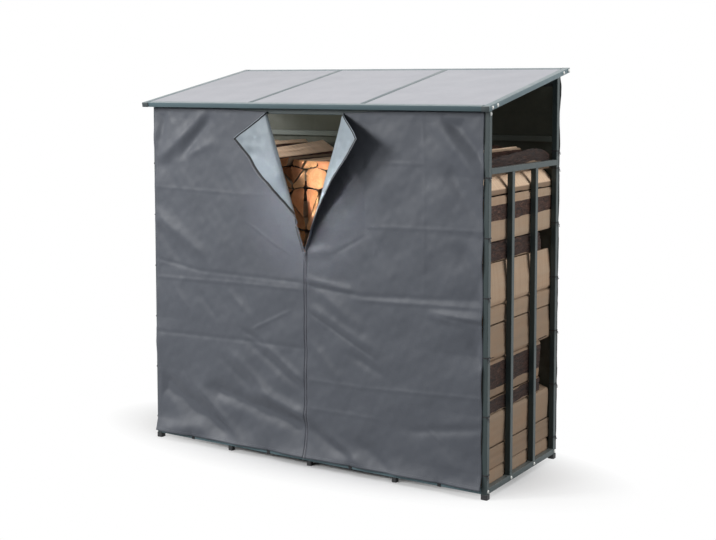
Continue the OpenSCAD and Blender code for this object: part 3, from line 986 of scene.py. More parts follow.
def band(path, across, width, thickness):
    """Points and faces of a flat band with soft edges along a path."""
    section = [
        (-0.5, 0.3), (-0.46, 0.5), (0.46, 0.5), (0.5, 0.3), (0.5, -0.3), (0.46, -0.5), (-0.46, -0.5), (-0.5, -0.3)]
    path, across = np.asarray(path, float), np.asarray(across, float)
    outward = unit(np.cross(unit(np.gradient(path, axis=0)), across))
    verts = [
        p + across * width * a + o * thickness * b for p, o in zip(path, outward) for a, b in section]
    n = len(section)
    faces = [
        (i * n + k, i * n + (k + 1) % n, (i + 1) * n + (k + 1) % n, (i + 1) * n + k)
        for i in range(len(path) - 1) for k in range(n)]
    faces.append(tuple(range(n))[::-1])
    faces.append(tuple((len(path) - 1) * n + k for k in range(n)))
    return verts, faces


# ---- logs

# Points round a log and rings along it, by how much of it shows
END_DETAIL, TOP_DETAIL, SPLIT_DETAIL, HIDDEN_DETAIL = (56, 34), (52, 20), (40, 14), (22, 4)
# How near a log comes to the frame's ends and to the top of the stack to count as one of their logs,
# and where logs show through the opening
AT_END, AT_TOP = 0.05, 0.06
SEEN_X, SEEN_Z = (-0.55, 0.2), 0.95
# How far the faces of the logs at both ends stand inside the frame
END_WALL = 0.0265
# How far a sawn end stands inside its solid
SAWN_INSET = 0.007
# Heights between which the right end of the stack shows bark, where its logs stop short at the back,
# and where one of them shows a slanting face, made paler as painted light where it turns up to the lamps
RIGHT_BARK = [(0.344, 0.407), (0.446, 0.581), (0.991, 1.085), (1.158, 1.272), (1.395, 1.470)]
RIGHT_SHORT = [(0.35, 0.52), (0.99, 1.05)]
RIGHT_LIT_SLANT = (1.28, 1.36)
# Kind and place of what is stored with the logs
LOG_MARKS = {
    "cut": ("FLOAT", "FACE"), "bark": ("FLOAT", "POINT"), "tone": ("FLOAT", "POINT"),
    "pith": ("FLOAT_VECTOR", "POINT")}


def log_cells(node):
    """Outline across (x, z) and ends (y) of each log in a tier of solids."""
    graph = bmesh.new()
    graph.from_mesh(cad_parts[node].data)
    bmesh.ops.remove_doubles(graph, verts=graph.verts, dist=1e-5)
    todo, cells = set(graph.verts), []
    while todo:
        stack, island = [todo.pop()], []
        while stack:
            vert = stack.pop()
            island.append(tuple(vert.co))
            for edge in vert.link_edges:
                other = edge.other_vert(vert)
                if other in todo:
                    todo.remove(other)
                    stack.append(other)
        points = np.array(island)
        near, far = points[:, 1].min(), points[:, 1].max()
        ring = points[points[:, 1] < near + 1e-4][:, [0, 2]]
        centre = ring.mean(0)
        order = np.argsort(np.arctan2(ring[:, 1] - centre[1], ring[:, 0] - centre[0]))
        cells.append((ring[order], near, far))
    graph.free()
    cells.sort(key=lambda c: (round(c[0][:, 1].mean(), 2), c[0][:, 0].mean()))
    return cells


def clipped(outline, point, normal):
    """Part of a convex outline behind a line."""
    sides = (outline - point) @ normal
    kept = []
    for first, second, near, far in zip(outline, np.roll(outline, -1, 0), sides, np.roll(sides, -1)):
        if near <= 0:
            kept.append(first)
        if (near < 0) != (far < 0) and near != far:
            kept.append(first + (second - first) * near / (near - far))
    return np.array(kept) if len(kept) > 2 else outline


def heading(angle):
    """Unit vector at an angle from the x axis."""
    return np.array([math.cos(angle), math.sin(angle)])


def walked(outline, count):
    """Points round an outline, evenly spaced and on each of its corners."""
    steps = np.linalg.norm(np.roll(outline, -1, 0) - outline, axis=1)
    parts = np.maximum(1, np.round(steps / steps.sum() * count).astype(int))
    points = []
    for first, second, part in zip(outline, np.roll(outline, -1, 0), parts):
        points += [first + (second - first) * t for t in np.arange(part) / part]
    return np.array(points)


def between_bars(y):
    """How far the lowest logs bulge between the floor bars at a depth."""
    half = (FLOOR_HIGH.z - FLOOR_LOW.z) / 2
    room = min(abs(y - FLOOR_LOW.y - half), abs(y - FLOOR_HIGH.y + half)) - half - 0.004
    return 0.016 * float(share(room, 0, 0.02))


class SplitLog:
    """One split log inside its cell: bark round one side, split faces on the rest, sawn ends."""

    def __init__(self, cell, rng, bark_angle, bark_half, wedge=None):
        self.outline, self.near, self.far = cell
        self.rng, self.angle, self.half = rng, bark_angle, bark_half
        self.tone = 0.45 + 0.55 * rng.random()
        self.bands = self.crest = self.belly = None
        self.bare = []
        self.sawn, self.slant = 1.0, 0.09
        centre = self.outline.mean(0)
        ahead = heading(bark_angle)
        back = ((self.outline - centre) @ -ahead).max()
        self.pith = centre - ahead * back * rng.uniform(0.8, 1.0)
        if wedge:
            for turn in (wedge + math.pi / 2, -wedge - math.pi / 2):
                self.outline = clipped(self.outline, self.pith - ahead * 0.004, heading(bark_angle + turn))

    def cut(self, point, angle, tone=None):
        """Splits a slice off the log, which leaves a bare face; a tone given for the face paints light on it by
        making it paler.
        """
        self.outline = clipped(self.outline, np.asarray(point), heading(angle))
        self.bare.append((np.asarray(point), heading(angle), tone))

    def section(self, count):
        """Points round the log, how far each is bark and its tone."""
        points = walked(self.outline, count)
        away = points - self.pith
        turn = np.arctan2(away[:, 1], away[:, 0]) - self.angle
        turn = np.abs((turn + math.pi) % (2 * math.pi) - math.pi)
        bark = np.clip((self.half - turn) / 0.1, 0, 1)
        tone = np.full(len(points), self.tone)
        for point, ahead, light_tone in self.bare:
            on_face = np.abs((points - point) @ ahead) < 1e-4
            bark[on_face] = 0
            tone[on_face] = self.tone if light_tone is None else light_tone
        length = np.linalg.norm(away, axis=1)
        limit = ((self.outline - self.pith) @ heading(self.angle)).max() * 1.01
        rounded = self.pith + away * np.minimum(1, limit / np.maximum(length, 1e-6))[:, None]
        return points * (1 - bark[:, None]) + rounded * bark[:, None], bark, tone

    def build(self, settings, around, rings):
        """Points, faces and what is stored with them."""
        rng = self.rng
        points, bark, tone = self.section(around)
        count = len(points)
        centre = points.mean(0)
        inward = unit(centre - points, 1e-6)
        taper = rng.uniform(-0.04, 0.04)
        seed = Vector(rng.uniform(-50, 50, 3))
        lean = rng.uniform(-self.slant, self.slant, (2, 2))
        foot = points[:, 1].min()
        verts, marks = [], []
        for j, t in enumerate(np.linspace(0, 1, rings)):
            y = self.near + (self.far - self.near) * t
            size = 1 - max(0.0, taper * t if taper > 0 else -taper * (1 - t))
            for (x, z), (ix, iz), rind in zip(points, inward, bark):
                if self.bands:
                    rind = self.banded(x, y, z, ix, rind, seed)
                plate = abs(noise.noise(Vector((x * 62, y * 13, z * 62)) + seed))
                fibre = noise.noise(Vector((x * 46, y * 2.0, z * 46)) + seed)
                warp = noise.noise(Vector((x * 9, y * 3.5, z * 9)) + seed)
                furrow = settings.furrow * max(0.0, 0.75 - 2.2 * plate)
                splinter = settings.splinter * (0.9 * fibre + 0.8 * warp + 0.8)
                inset = max(0.0, rind * furrow + (1 - rind) * splinter) + 0.0004
                px = centre[0] + (x - centre[0]) * size + ix * inset
                pz = centre[1] + (z - centre[1]) * size + iz * inset
                if self.crest:
                    pz = foot + (pz - foot) * self.crest(t)
                if self.belly:
                    pz -= self.belly(y) * max(0.0, 1 - (z - foot) / 0.03)
                place = y
                if j in (0, rings - 1):
                    side = 0 if j == 0 else 1
                    slope = lean[side] @ np.array([px - centre[0], pz - centre[1]])
                    place = min(y + (SAWN_INSET + slope) * (1 - 2 * side), LOG_END)
                verts.append((px, place, pz))
                marks.append(rind)
        faces = [
            (j * count + i, (j + 1) * count + i, (j + 1) * count + (i + 1) % count, j * count + (i + 1) % count)
            for j in range(rings - 1) for i in range(count)]
        cut = [0.0] * len(faces)
        for side in (0, 1):
            self.end(verts, faces, cut, count, rings, side, centre, lean[side], seed)
        on_ends = len(verts) - len(marks)
        return verts, faces, {
            "cut": cut, "bark": marks + [0.0] * on_ends, "tone": [*np.tile(tone, rings)] + [self.tone] * on_ends,
            "pith": np.array(verts) - np.array([self.pith[0], 0, self.pith[1]])}

    def banded(self, x, y, z, inward_x, rind, seed):
        """Bark in level bands on the outer side."""
        if inward_x > -0.45:
            return rind
        level = z + 0.006 * noise.noise(Vector((x * 5, y * 9, 0)) + seed)
        return max(float(share(min(level - low, high - level), 0, 0.003)) for low, high in self.bands)

    def end(self, verts, faces, cut, count, rings, side, centre, lean, seed):
        """Sawn end in rings that shrink to the middle."""
        start = side * (rings - 1) * count
        ring = [start + i for i in range(count)]
        y, sign = (self.far, -1) if side else (self.near, 1)
        rim = [verts[i] for i in ring]
        for shrink in (0.7, 0.35, 0.0):
            first = len(verts)
            for x0, _, z0 in rim[:1] if shrink == 0 else rim:
                dx, dz = (x0 - centre[0]) * shrink, (z0 - centre[1]) * shrink
                rough = 0.0015 * noise.noise(Vector((dx * 80, dz * 80, seed.x)))
                depth = min(y + sign * (SAWN_INSET + lean @ np.array([dx, dz]) + rough), LOG_END)
                verts.append((centre[0] + dx, depth, centre[1] + dz))
            for i in range(count):
                k = (i + 1) % count
                face = (ring[i], ring[k], first) if shrink == 0 else (ring[i], ring[k], first + k, first + i)
                faces.append(face[::-1] if side else face)
                cut.append(1.0 if side else self.sawn)
            ring = [first + i for i in range(count)]


# ---- operators


class Maker:
    """Shared by the operators that make pieces."""

    bl_options = {"REGISTER", "UNDO"}


class LOGSTORE_OT_frame(Maker, bpy.types.Operator):
    """Coats the tubes and feet"""

    bl_idname = "logstore.frame"
    bl_label = "Frame and feet"

    def execute(self, context):
        finish = context.scene.logstore_finish
        coat = material_of("Powder coat", powder_coat, finish.coat)
        # Some rails get their own paler coats: painted light on tubes that really wear the frame's coat
        painted_light_coats = {
            # Back rail: paler than the frame coat, painting the light it catches inside the opening
            "back_rail": material_of("Back rail coat", powder_coat, srgb(98, 104, 97)),
            # Front base rail: the roof coat made paler, painting light on its face under the cover's hem
            "base_rail_front": material_of(
                "Front rail coat", powder_coat, scaled(finish.roof_coat, 1.4), dust=0.4)}
        plastic = material_of("Moulded plastic", moulded_plastic, finish.plastic)
        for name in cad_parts:
            if name.startswith(("post_", "base_rail", "floor_bars", "top_rail", "back_rail", "end_")):
                recoat(name, painted_light_coats.get(name, coat))
            elif name in ("corner_feet", "rail_feet"):
                recoat(name, plastic)
        return {"FINISHED"}


class LOGSTORE_OT_roof(Maker, bpy.types.Operator):
    """Rounds the roof bars' edges and finishes the panels"""

    bl_idname = "logstore.roof"
    bl_label = "Roof"

    def execute(self, context):
        finish = context.scene.logstore_finish
        coat = material_of("Roof coat", powder_coat, finish.roof_coat, dust=0.35)
        # Rafters take the roof coat darkened: painted shade, not a different paint
        rafter_shade_coat = material_of("Rafter coat", powder_coat, scaled(finish.roof_coat, 0.7), dust=0.2)
        cap = material_of("End cap", moulded_plastic, srgb(52, 62, 64))
        panel = material_of("Roof panel", panel_sheet, finish.panel)
        bar_edge, cap_edge = 0.0014, 0.0009
        for name in ("roof_bar_left", "roof_bar_right", "roof_bar_front", "roof_bar_back", "roof_rafters"):
            keep(self.rounded(name, rafter_shade_coat if name == "roof_rafters" else coat, bar_edge), "roof_frame", name)
        keep(self.rounded("roof_end_caps", cap, cap_edge), "end_cap", "roof_end_caps")
        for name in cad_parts:
            if name.startswith("roof_panel"):
                recoat(name, panel)
        return {"FINISHED"}

    def rounded(self, name, material, width):
        """Copy of a node with softened edges."""
        graph = bmesh.new()
        graph.from_mesh(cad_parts[name].data)
        bmesh.ops.remove_doubles(graph, verts=graph.verts, dist=1e-5)
        bmesh.ops.dissolve_limit(graph, angle_limit=math.radians(1), verts=graph.verts, edges=graph.edges)
        sharp = [e for e in graph.edges if len(e.link_faces) == 2 and e.calc_face_angle() > math.radians(30)]
        bmesh.ops.bevel(
            graph, geom=sharp, offset=width, segments=2, profile=0.5, affect="EDGES", clamp_overlap=True)
        mesh = bpy.data.meshes.new(name + "_rounded")
        graph.to_mesh(mesh)
        graph.free()
        mesh.materials.append(material)
        mesh.polygons.foreach_set("use_smooth", [True] * len(mesh.polygons))
        return sharpen(linked(name + "_rounded", mesh), 50)


class LOGSTORE_OT_front_cover(Maker, bpy.types.Operator):
    """Hangs both halves of the front cover and folds their top corners back"""

    bl_idname = "logstore.front_cover"
    bl_label = "Front cover"

    def execute(self, context):
        settings = context.scene.logstore_cover
        materials = (
            material_of("Cover outside", coated_fabric, settings.outside),
            # The lining's strong blotches paint patches of sheen on its silver coating as well as handling marks
            material_of(
                "Cover lining", coated_fabric, settings.lining, rough=(0.42, 0.58), blotch=0.3, depth=0.3),
            # Paler finish on the fabric's cut rim: a painted highlight along its edge
            material_of("Cover hem", coated_fabric, scaled(settings.outside, 1.35)))
        thread = material_of("Thread", coated_fabric, srgb(120, 122, 130), threads=5000.0)
        hem = 0.014
        seams, facings = [], []
        for side, name in ((-1, "front_cover_left"), (1, "front_cover_right")):
            half = FrontFabric(settings, side)
            points, faces = half.mesh(settings.step)
            sheet = hung_sheet(name + "_fabric", points, faces, materials, settings.thickness, (0, -1, 0))
            keep(sheet, "front_cover", name)
            up = np.linspace(half.low + hem, half.top - 0.01, 260)
            along = np.linspace(half.inner + 0.004, half.half - hem, 160)
            for across, z in (
                    (np.full_like(up, half.half - hem), up), (along, np.full_like(along, half.low + hem))):
                seams.append(half.place(across, z) + np.array([0, -settings.thickness / 2, 0]))
                facings.append(np.tile([0, -1, 0], (len(across), 1)))
        stitches = grown(
            "cover_stitches", group_of("Stitches", stitch_tree), seams, facings,
            Pitch=0.007, Thread=0.0005, Material=thread)
        keep(stitches, "front_cover")
        return {"FINISHED"}


class LOGSTORE_OT_zip(Maker, bpy.types.Operator):
    """Makes the zip: tape, teeth and slider"""

    bl_idname = "logstore.zip"
    bl_label = "Zip"

    def execute(self, context):
        settings = context.scene.logstore_cover
        tape = material_of("Zip tape", coated_fabric, srgb(92, 94, 103), threads=3000.0)
        binding = material_of("Binding", webbing)
        teeth = material_of("Zip teeth", moulded_plastic, srgb(100, 103, 112))
        left, right = FrontFabric(settings, -1), FrontFabric(settings, 1)
        closed = np.linspace(left.low, left.zip_z + 0.002, 180)
        strip = []
        for place in (-1.5, -0.8, 0.0, 0.8, 1.5):
            half = left if place < 0 else right
            line = half.place(np.full_like(closed, abs(place) * settings.zip_half), closed)
            strip.append(line + np.array([0, 0.0011 - 0.0014 * max(0.0, 1 - abs(place)), 0]))
        points = np.stack(strip, 1)
        closed_tape = (points.reshape(-1, 3), grid_faces(len(closed), len(strip)))
        middle = points[:, len(strip) // 2] + np.array([0, -0.0006, 0])
        paths, facings, trims = [middle], [np.tile([0, -1, 0], (len(closed), 1))], []
        for half in (left, right):
            stretches = [np.linspace(half.fold_z + 0.006, half.top - 0.002, 130)]
            if half.fold_z > half.zip_z:
                stretches.append(np.linspace(half.zip_z + 0.004, half.fold_z - 0.002, 50))
            for heights in stretches:
                rim = half.edge_x(heights)
                flap = half.fold_x(heights) - rim
                reach = np.where(flap > 1e-6, np.minimum(0.010, 0.8 * flap), 0.008)
                edge = half.place(rim, heights)
                trim, facing, lean = self.trim(edge, half.place(rim + reach, heights), 0.003)
                trims.append(trim)
                paths.append(edge + lean * 0.003 + facing * 0.0009)
                facings.append(facing)
            across = np.linspace(half.edge_x(half.top) + 0.001, half.fold_x(half.top) - 0.012, 60)
            edge, inside = (half.place(across, np.full_like(across, half.top - down)) for down in (0.0025, 0.0085))
            trims.append(self.trim(edge, inside, 0.0)[0])
        keep(self.ribbon("zip_tape", [closed_tape], tape), "zip", "zip")
        keep(self.ribbon("flap_binding", trims, binding), "zip")
        row = grown(
            "zip_teeth", group_of("Zip teeth", zip_teeth_tree), paths, facings,
            Pitch=0.0034, Width=0.0052, Height=0.0024, Material=teeth)
        keep(row, "zip")
        keep(self.slider(Vector(middle[-1]), teeth), "zip")
        return {"FINISHED"}

    def trim(self, edge, inside, over):
        """Strip along a flap's edge on its lining, with its facing and the way out of the edge."""
        lean = unit(edge - inside, 1e-6)
        facing = unit(np.cross(np.gradient(edge, axis=0), lean), 1e-9)
        facing = np.where(facing[:, 1:2] > 0, -facing, facing)
        lines = np.stack([inside, edge, edge + lean * max(over, 1e-4)], 1) + facing[:, None, :] * 0.0011
        return (lines.reshape(-1, 3), grid_faces(len(edge), 3)), facing, lean

    def ribbon(self, name, parts, material):
        """Strips given the thickness of tape."""
        return outward_normals(thicken(new_piece(name, *joined(parts), material), thickness=0.0008))

    def slider(self, top, material):
        """Slider body with a bridge and a hanging pull tab with an eye."""
        graph = bmesh.new()
        for size, place, taper in (
                ((0.0125, 0.0016, 0.017), (0, -0.0026, -0.006), 0.62),
                ((0.0125, 0.0014, 0.017), (0, 0.0020, -0.006), 0.62),
                ((0.0026, 0.0042, 0.004), (0, -0.0002, 0.0005), 1.0),
                ((0.0030, 0.0026, 0.012), (0, -0.0046, -0.006), 1.0)):
            for vert in bmesh.ops.create_cube(graph, size=1.0)["verts"]:
                narrow = taper if vert.co.z < 0 else 1.0
                vert.co = vert.co * Vector(size) * Vector((narrow, 1, 1)) + top + Vector(place)
        bmesh.ops.bevel(
            graph, geom=list(graph.edges), offset=0.0005, segments=2, profile=0.5, affect="EDGES",
            clamp_overlap=True)
        graph.verts.index_update()
        body = ([v.co.copy() for v in graph.verts], [tuple(v.index for v in f.verts) for f in graph.faces])
        graph.free()

        turns = np.linspace(0, 2 * math.pi, 24, endpoint=False)
        outline = [
            (0.0036 * math.cos(t) * (1.0 if math.sin(t) > 0 else 0.8), 0.015 * math.sin(t)) for t in turns]
        verts = [
            top + Vector((x * wide, y, z * high + drop))
            for y in (-0.0064, -0.0054) for wide, high, drop in ((1.0, 1.0, -0.0225), (0.45, 0.72, -0.0195))
            for x, z in outline]
        n, faces = len(outline), []
        for i in range(n):
            k = (i + 1) % n
            faces += [(i, k, n + k, n + i), (2 * n + k, 2 * n + i, 3 * n + i, 3 * n + k),
                      (k, i, 2 * n + i, 2 * n + k), (n + i, n + k, 3 * n + k, 3 * n + i)]
        return sharpen(outward_normals(new_piece("zip_slider", *joined([body, (verts, faces)]), material)), 40)


class LOGSTORE_OT_back_cover(Maker, bpy.types.Operator):
    """Hangs the back cover behind the posts"""

    bl_idname = "logstore.back_cover"
    bl_label = "Back cover"

    def execute(self, context):
        settings = context.scene.logstore_cover
        materials = (
            material_of("Back cover", coated_fabric, settings.back, rough=(0.5, 0.65)),
            material_of(
                "Back cover inside", coated_fabric, settings.back_inside, rough=(0.5, 0.65), blotch=0.5),
            material_of("Back hem", coated_fabric, scaled(settings.back, 0.6)))
        step = settings.step * 1.6
        low, high = BACK_COVER_LOW, BACK_COVER_HIGH
        cols, rows = round((high.x - low.x) / step), round((high.z - low.z) / step)
        x, z = np.meshgrid(np.linspace(low.x, high.x, cols), np.linspace(low.z, high.z + BACK_HEM, rows))
        points = np.stack([x, BACK_Y + HANG_GAP + self.relief(x, z), z], -1).reshape(-1, 3)
        sheet = hung_sheet(
            "back_cover_fabric", points, grid_faces(rows, cols), materials, settings.thickness, (0, 1, 0))
        hem, hem_slot = 0.03, 2
        for face in sheet.data.polygons:
            if abs(face.center.x) > RIGHT_X - hem or face.center.z > high.z - hem:
                face.material_index = hem_slot
        keep(sheet, "back_cover", "back_cover")
        return {"FINISHED"}

    def relief(self, x, z):
        """How far the hung fabric stands out at a place."""
        top, sink_below, crease = BACK_COVER_HIGH.z, 1.44, 0.007
        height = 0.0055 * ripple(x, z, 51, 12, 0.15, 0.7) + 0.0012 * ripple(x, z, 52, 14, 0.05, 0.14)
        for level in (0.42, 0.72, 1.02, 1.32, 1.60):
            height += 0.0022 * np.exp(-(((z - level - 0.01 * np.sin(x * 3)) / crease) ** 2))
        for upright in (-0.45, 0.0, 0.45):
            height += 0.002 * np.exp(-(((x - upright) / crease) ** 2))
        outer = np.abs(x)
        height += 0.007 * share(outer, 0.72, 0.9) * np.abs(tie_wave(z))
        height += 0.012 * share(outer, 0.8, 0.9) * share(z, top - 0.16, top - 0.04) * share(z, top, top - 0.03)
        room = np.minimum.reduce([RIGHT_X - TUBE - outer, z - RAIL_HIGH.z, sink_below - z])
        return np.clip(height, -np.clip(room * 0.3, 0, MOST_SUNK), 0.026)


class LOGSTORE_OT_webbing(Maker, bpy.types.Operator):
    """Makes the straps round the base rails and the ties round the posts"""

    bl_idname = "logstore.webbing"
    bl_label = "Straps and ties"

    def execute(self, context):
        settings = context.scene.logstore_cover
        for back, name in ((False, "front_straps"), (True, "back_straps")):
            across = [LEFT_X + (i + 0.5) * (RIGHT_X - LEFT_X) / STRAPS for i in range(STRAPS)]
            self.sew(name, [self.strap(x, back) for x in across])
        top = END_RAIL_LOW.z - 0.005 - STRAP_WIDTH / 2
        heights = [top - TIE_PITCH * i for i in range(TIES)]
        for back, name in ((False, "front_ties"), (True, "back_ties")):
            places = heights + ([END_RAIL_HIGH.z + 0.04] if back else [])
            parts = []
            for right in (False, True):
                inset = settings.right_inset if right and not back else 0.0
                for k, z in enumerate(places):
                    parts += self.tie(right, back, z, inset, k)
            self.sew(name, parts)
        return {"FINISHED"}

    def sew(self, name, parts):
        """One piece of webbing in place of a node."""
        piece = sharpen(new_piece(name + "_webbing", *joined(parts), material_of("Webbing", webbing)), 40)
        keep(outward_normals(piece), "webbing", name)

    def strap(self, x, back):
        """Strap sewn to a cover's lower hem and taken round the base rail."""
        low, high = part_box("base_rail_back" if back else "base_rail_front")
        sign, face, far = (-1, high.y, low.y) if back else (1, low.y, high.y)
        gap = WEBBING_GAP
        corners = [
            (face - sign * gap, COVER_LOW + 0.004), (face - sign * gap, low.z - gap),
            (far + sign * gap, low.z - gap), (far + sign * gap, high.z + gap), (face + sign * 0.002, high.z + gap)]
        path = [(x, y, z) for y, z in rounded_path(corners, WEBBING_BEND)]
        return band(path, (1, 0, 0), STRAP_WIDTH, WEBBING_THICKNESS)

    def tie(self, right, back, z, inset, k):
        """Tie from a cover's side edge round its post, with a knot and two tails."""
        sign_x, outer = (-1, RIGHT_X) if right else (1, LEFT_X)
        sign_y, face = (-1, BACK_Y) if back else (1, FRONT_Y)
        gap = WEBBING_GAP

        def at(x, y):
            """Place in plan, from the post's outer corner."""
            return (outer + sign_x * x, face + sign_y * y)

        corners = [
            at(inset + 0.006, -gap), at(-gap, -gap), at(-gap, TUBE + gap), at(TUBE + gap, TUBE + gap),
            at(TUBE + gap, 0.002)]
        path = [(x, y, z) for x, y in rounded_path(corners, WEBBING_BEND)]
        knot = Vector((*(at(-gap - 0.0015, 0.003) if right else at(0.010, TUBE + gap + 0.002)), z))
        out = Vector((-sign_x, 0, 0)) if right else Vector((0, sign_y, 0))
        aside = Vector((0, 1, 0)) if right else Vector((1, 0, 0))
        parts = [band(path, (0, 0, 1), TIE_WIDTH, WEBBING_THICKNESS), self.knot(knot)]
        for lean in (-1, 1):
            drop = 0.014 + 0.004 * ((k + lean) % 3)
            tail = [
                knot + out * forth + aside * lean * apart + Vector((0, 0, -down))
                for forth, apart, down in ((0, 0, 0.003), (0.0025, 0.004, 0.010), (0.002, 0.006, drop))]
            parts.append(band([tuple(p) for p in tail], tuple(aside), 0.0045, 0.0010))
        return parts

    def knot(self, place):
        """Small lumpy knot."""
        graph = bmesh.new()
        bmesh.ops.create_icosphere(graph, subdivisions=2, radius=1.0)
        verts = []
        for vert in graph.verts:
            lump = 1 + 0.22 * math.sin(5 * vert.co.x + 3 * vert.co.z) * math.cos(4 * vert.co.y)
            verts.append(place + vert.co * Vector((0.6, 1, 1)) * KNOT_SIZE * lump)
        faces = [tuple(v.index for v in f.verts) for f in graph.faces]
        graph.free()
        return verts, faces


class LOGSTORE_OT_bolts(Maker, bpy.types.Operator):
    """Puts a capped bolt at each joint of the end frames and the roof"""

    bl_idname = "logstore.bolts"
    bl_label = "Bolts"

    def execute(self, context):
        finish = context.scene.logstore_finish
        pale = material_of("Bolt cap", bolt_finish, finish.bolt)
        rail_z = (RAIL_LOW.z + RAIL_HIGH.z) / 2
        bars_low, bars_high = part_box("end_bars_right")
        depths = (FRONT_Y + TUBE / 2, bars_low.y + TUBE / 2, bars_high.y - TUBE / 2, BACK_Y - TUBE / 2)
        slope, above = (BACK_Y - FRONT_Y) / math.cos(ROOF_PITCH), 0.011
        sine, cosine = math.sin(ROOF_PITCH), math.cos(ROOF_PITCH)
        places, facings = [], []
        for sign, outer, roof_x in (
                (-1, LEFT_X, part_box("roof_bar_left")[0].x), (1, RIGHT_X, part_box("roof_bar_right")[1].x)):
            side = [(outer, y, rail_z) for y in depths]
            side.append((outer, FRONT_Y + TUBE / 2, TOP_RAIL_LOW + TUBE * 0.62))
            side += [
                (roof_x, FRONT_Y + along * cosine - above * sine, ROOF_FRONT_Z + along * sine + above * cosine)
                for along in (-0.020, 0.028, slope - 0.012, slope + 0.045)]
            places += [[place] for place in side]
            facings += [[(sign, 0, 0)] for _ in side]
        caps = grown(
            "bolt_caps", group_of("Bolt caps", bolt_tree), places, facings,
            Radius=finish.bolt_radius, Material=pale)
        caps.data.polygons.foreach_set("use_smooth", [True] * len(caps.data.polygons))
        keep(sharpen(caps, 40), "end_cap")
        return {"FINISHED"}


class LOGSTORE_OT_logs(Maker, bpy.types.Operator):
    """Shapes each log of the stack inside its solid"""

    bl_idname = "logstore.logs"
    bl_label = "Logs"

    def execute(self, context):
        settings = context.scene.logstore_logs
        wood = material_of("Split log", split_wood, settings)
        tiers = sorted(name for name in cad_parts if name.startswith("log_tier"))
        stack_top = max(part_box(name)[1].z for name in tiers)
        for t, name in enumerate(tiers):
            rng = np.random.default_rng(settings.seed + 100 * t)
            parts, stored = [], []
            for cell in log_cells(name):
                for log, detail in self.choose(cell, rng, stack_top):
                    verts, faces, marks = log.build(settings, *detail)
                    parts.append((verts, faces))
                    stored.append(marks)
            piece = new_piece(name + "_logs", *joined(parts), wood)
            for key, (kind, domain) in LOG_MARKS.items():
                add_attribute(piece.data, key, kind, domain, np.concatenate([marks[key] for marks in stored]))
            keep(sharpen(piece, 32), "log", name)
        return {"FINISHED"}

    def choose(self, cell, rng, stack_top):
        """Logs that fill a cell, with the detail of each, from its place in the stack."""
        outline, near, far = cell
        centre = outline.mean(0)
        right = RIGHT_X - outline[:, 0].max() < AT_END
        left = outline[:, 0].min() - LEFT_X < AT_END
        on_top = outline[:, 1].max() > stack_top - AT_TOP
        in_view = SEEN_X[0] < centre[0] < SEEN_X[1] and centre[1] > SEEN_Z
        angle = math.pi / 2 + rng.normal(0, 0.7)
        if rng.random() < 0.2:
            angle = rng.uniform(-math.pi, math.pi)
        wedge = rng.uniform(0.95, 1.3) if rng.random() < 0.7 else None
        half = rng.uniform(0.6, 0.95)
        if right or left:
            return [(self.end_log(cell, rng, right, on_top), END_DETAIL)]
        if on_top:
            angle, wedge = math.pi / 2 + rng.normal(0, 0.35), None
        log = SplitLog((outline, near + 0.03 * rng.random(), far), rng, angle, half, wedge)
        if on_top and self.crown(log, outline, rng):
            return [(log, TOP_DETAIL)]
        if on_top or in_view:
            return self.halves(log, rng) if rng.random() < 0.8 else [(log, TOP_DETAIL)]
        return [(log, HIDDEN_DETAIL)]

    def end_log(self, cell, rng, right, on_top):
        """Log at an end of the stack, its outer face in line with the others."""
        outline, near, far = cell
        centre = outline.mean(0)
        side, edge, outer = (
            (1, outline[:, 0].max(), RIGHT_X) if right else (-1, outline[:, 0].min(), LEFT_X))
        reach = share(outline[:, 0], centre[0], edge)
        wall = outer - side * END_WALL
        outline = outline + np.stack([reach * (wall - edge), 0 * reach], -1)
        log = SplitLog((outline, near, far), rng, math.pi / 2, 0.5 if on_top else 0.0)
        log.angle = math.pi / 2 - side * rng.uniform(0.0, 0.5)
        if right:
            log.bands = RIGHT_BARK
            short = any(low < centre[1] < high for low, high in RIGHT_SHORT)
            rear = BACK_Y - (0.12 if short else 0.005 if centre[1] < RIGHT_LIT_SLANT[1] else 0.031)
            log.far = rear - 0.010 * rng.random()
            log.slant, log.sawn = 0.22, 0.15
            log.tone = rng.uniform(0.62, 1.0)
            log.cut((wall - 0.0005, centre[1]), rng.uniform(-0.07, 0.14))
            if RIGHT_LIT_SLANT[0] < centre[1] < RIGHT_LIT_SLANT[1]:
                # The slanting face takes tone 0, its paleness painting the light it catches
                log.cut((outline[:, 0].max() - 0.004, centre[1] - 0.008), math.radians(40), 0.0)
            if on_top:
                log.crest = lambda t: 1 - 0.3 * (1 - t) ** 1.4 - 4.4 * max(0.0, t - 0.72) ** 2
        elif rng.random() < 0.5:
            log.angle, log.half = math.pi - rng.uniform(-0.2, 0.4), rng.uniform(0.7, 1.1)
        else:
            log.far -= 0.06 * rng.random()
            log.cut((wall + 0.0005, centre[1]), math.pi + rng.uniform(-0.2, 0.1))
        if outline[:, 1].min() < FLOOR_HIGH.z + 0.005:
            log.belly = between_bars
        return log

    def crown(self, log, outline, rng):
        """Shapes the upper side of a log on top of the stack, and tells if the log stays whole."""
        centre, edge, top = outline.mean(0), outline[:, 0].max(), outline[:, 1].max()
        if -0.27 < centre[0] < 0.5:
            log.cut((centre[0], top - 0.066), math.pi / 2 + rng.normal(0, 0.12))
            return False
        if -0.36 < centre[0] < 0:
            # This log takes a pale tone and its slanting face the palest: painted light on the strip that faces up
            # in the opening
            log.angle, log.half, log.tone = 0.0, 1.2, 0.1
            log.cut((edge - 0.004, centre[1] + 0.002), math.radians(58), 0.0)
            log.crest = lambda t: 0.72 + 0.26 * t
        elif centre[0] < 0.5 and rng.random() < 0.55:
            low, high = rng.uniform(0.6, 1.0), rng.uniform(0.7, 1.0)
            log.crest = lambda t: low + (high - low) * t
        else:
            log.angle, log.half = 0.7, 1.3
            # The slanting top face takes a pale tone: painted light where it faces up
            log.cut((edge - 0.02, top), math.radians(rng.uniform(46, 60)), 0.2 * rng.random())
        return True

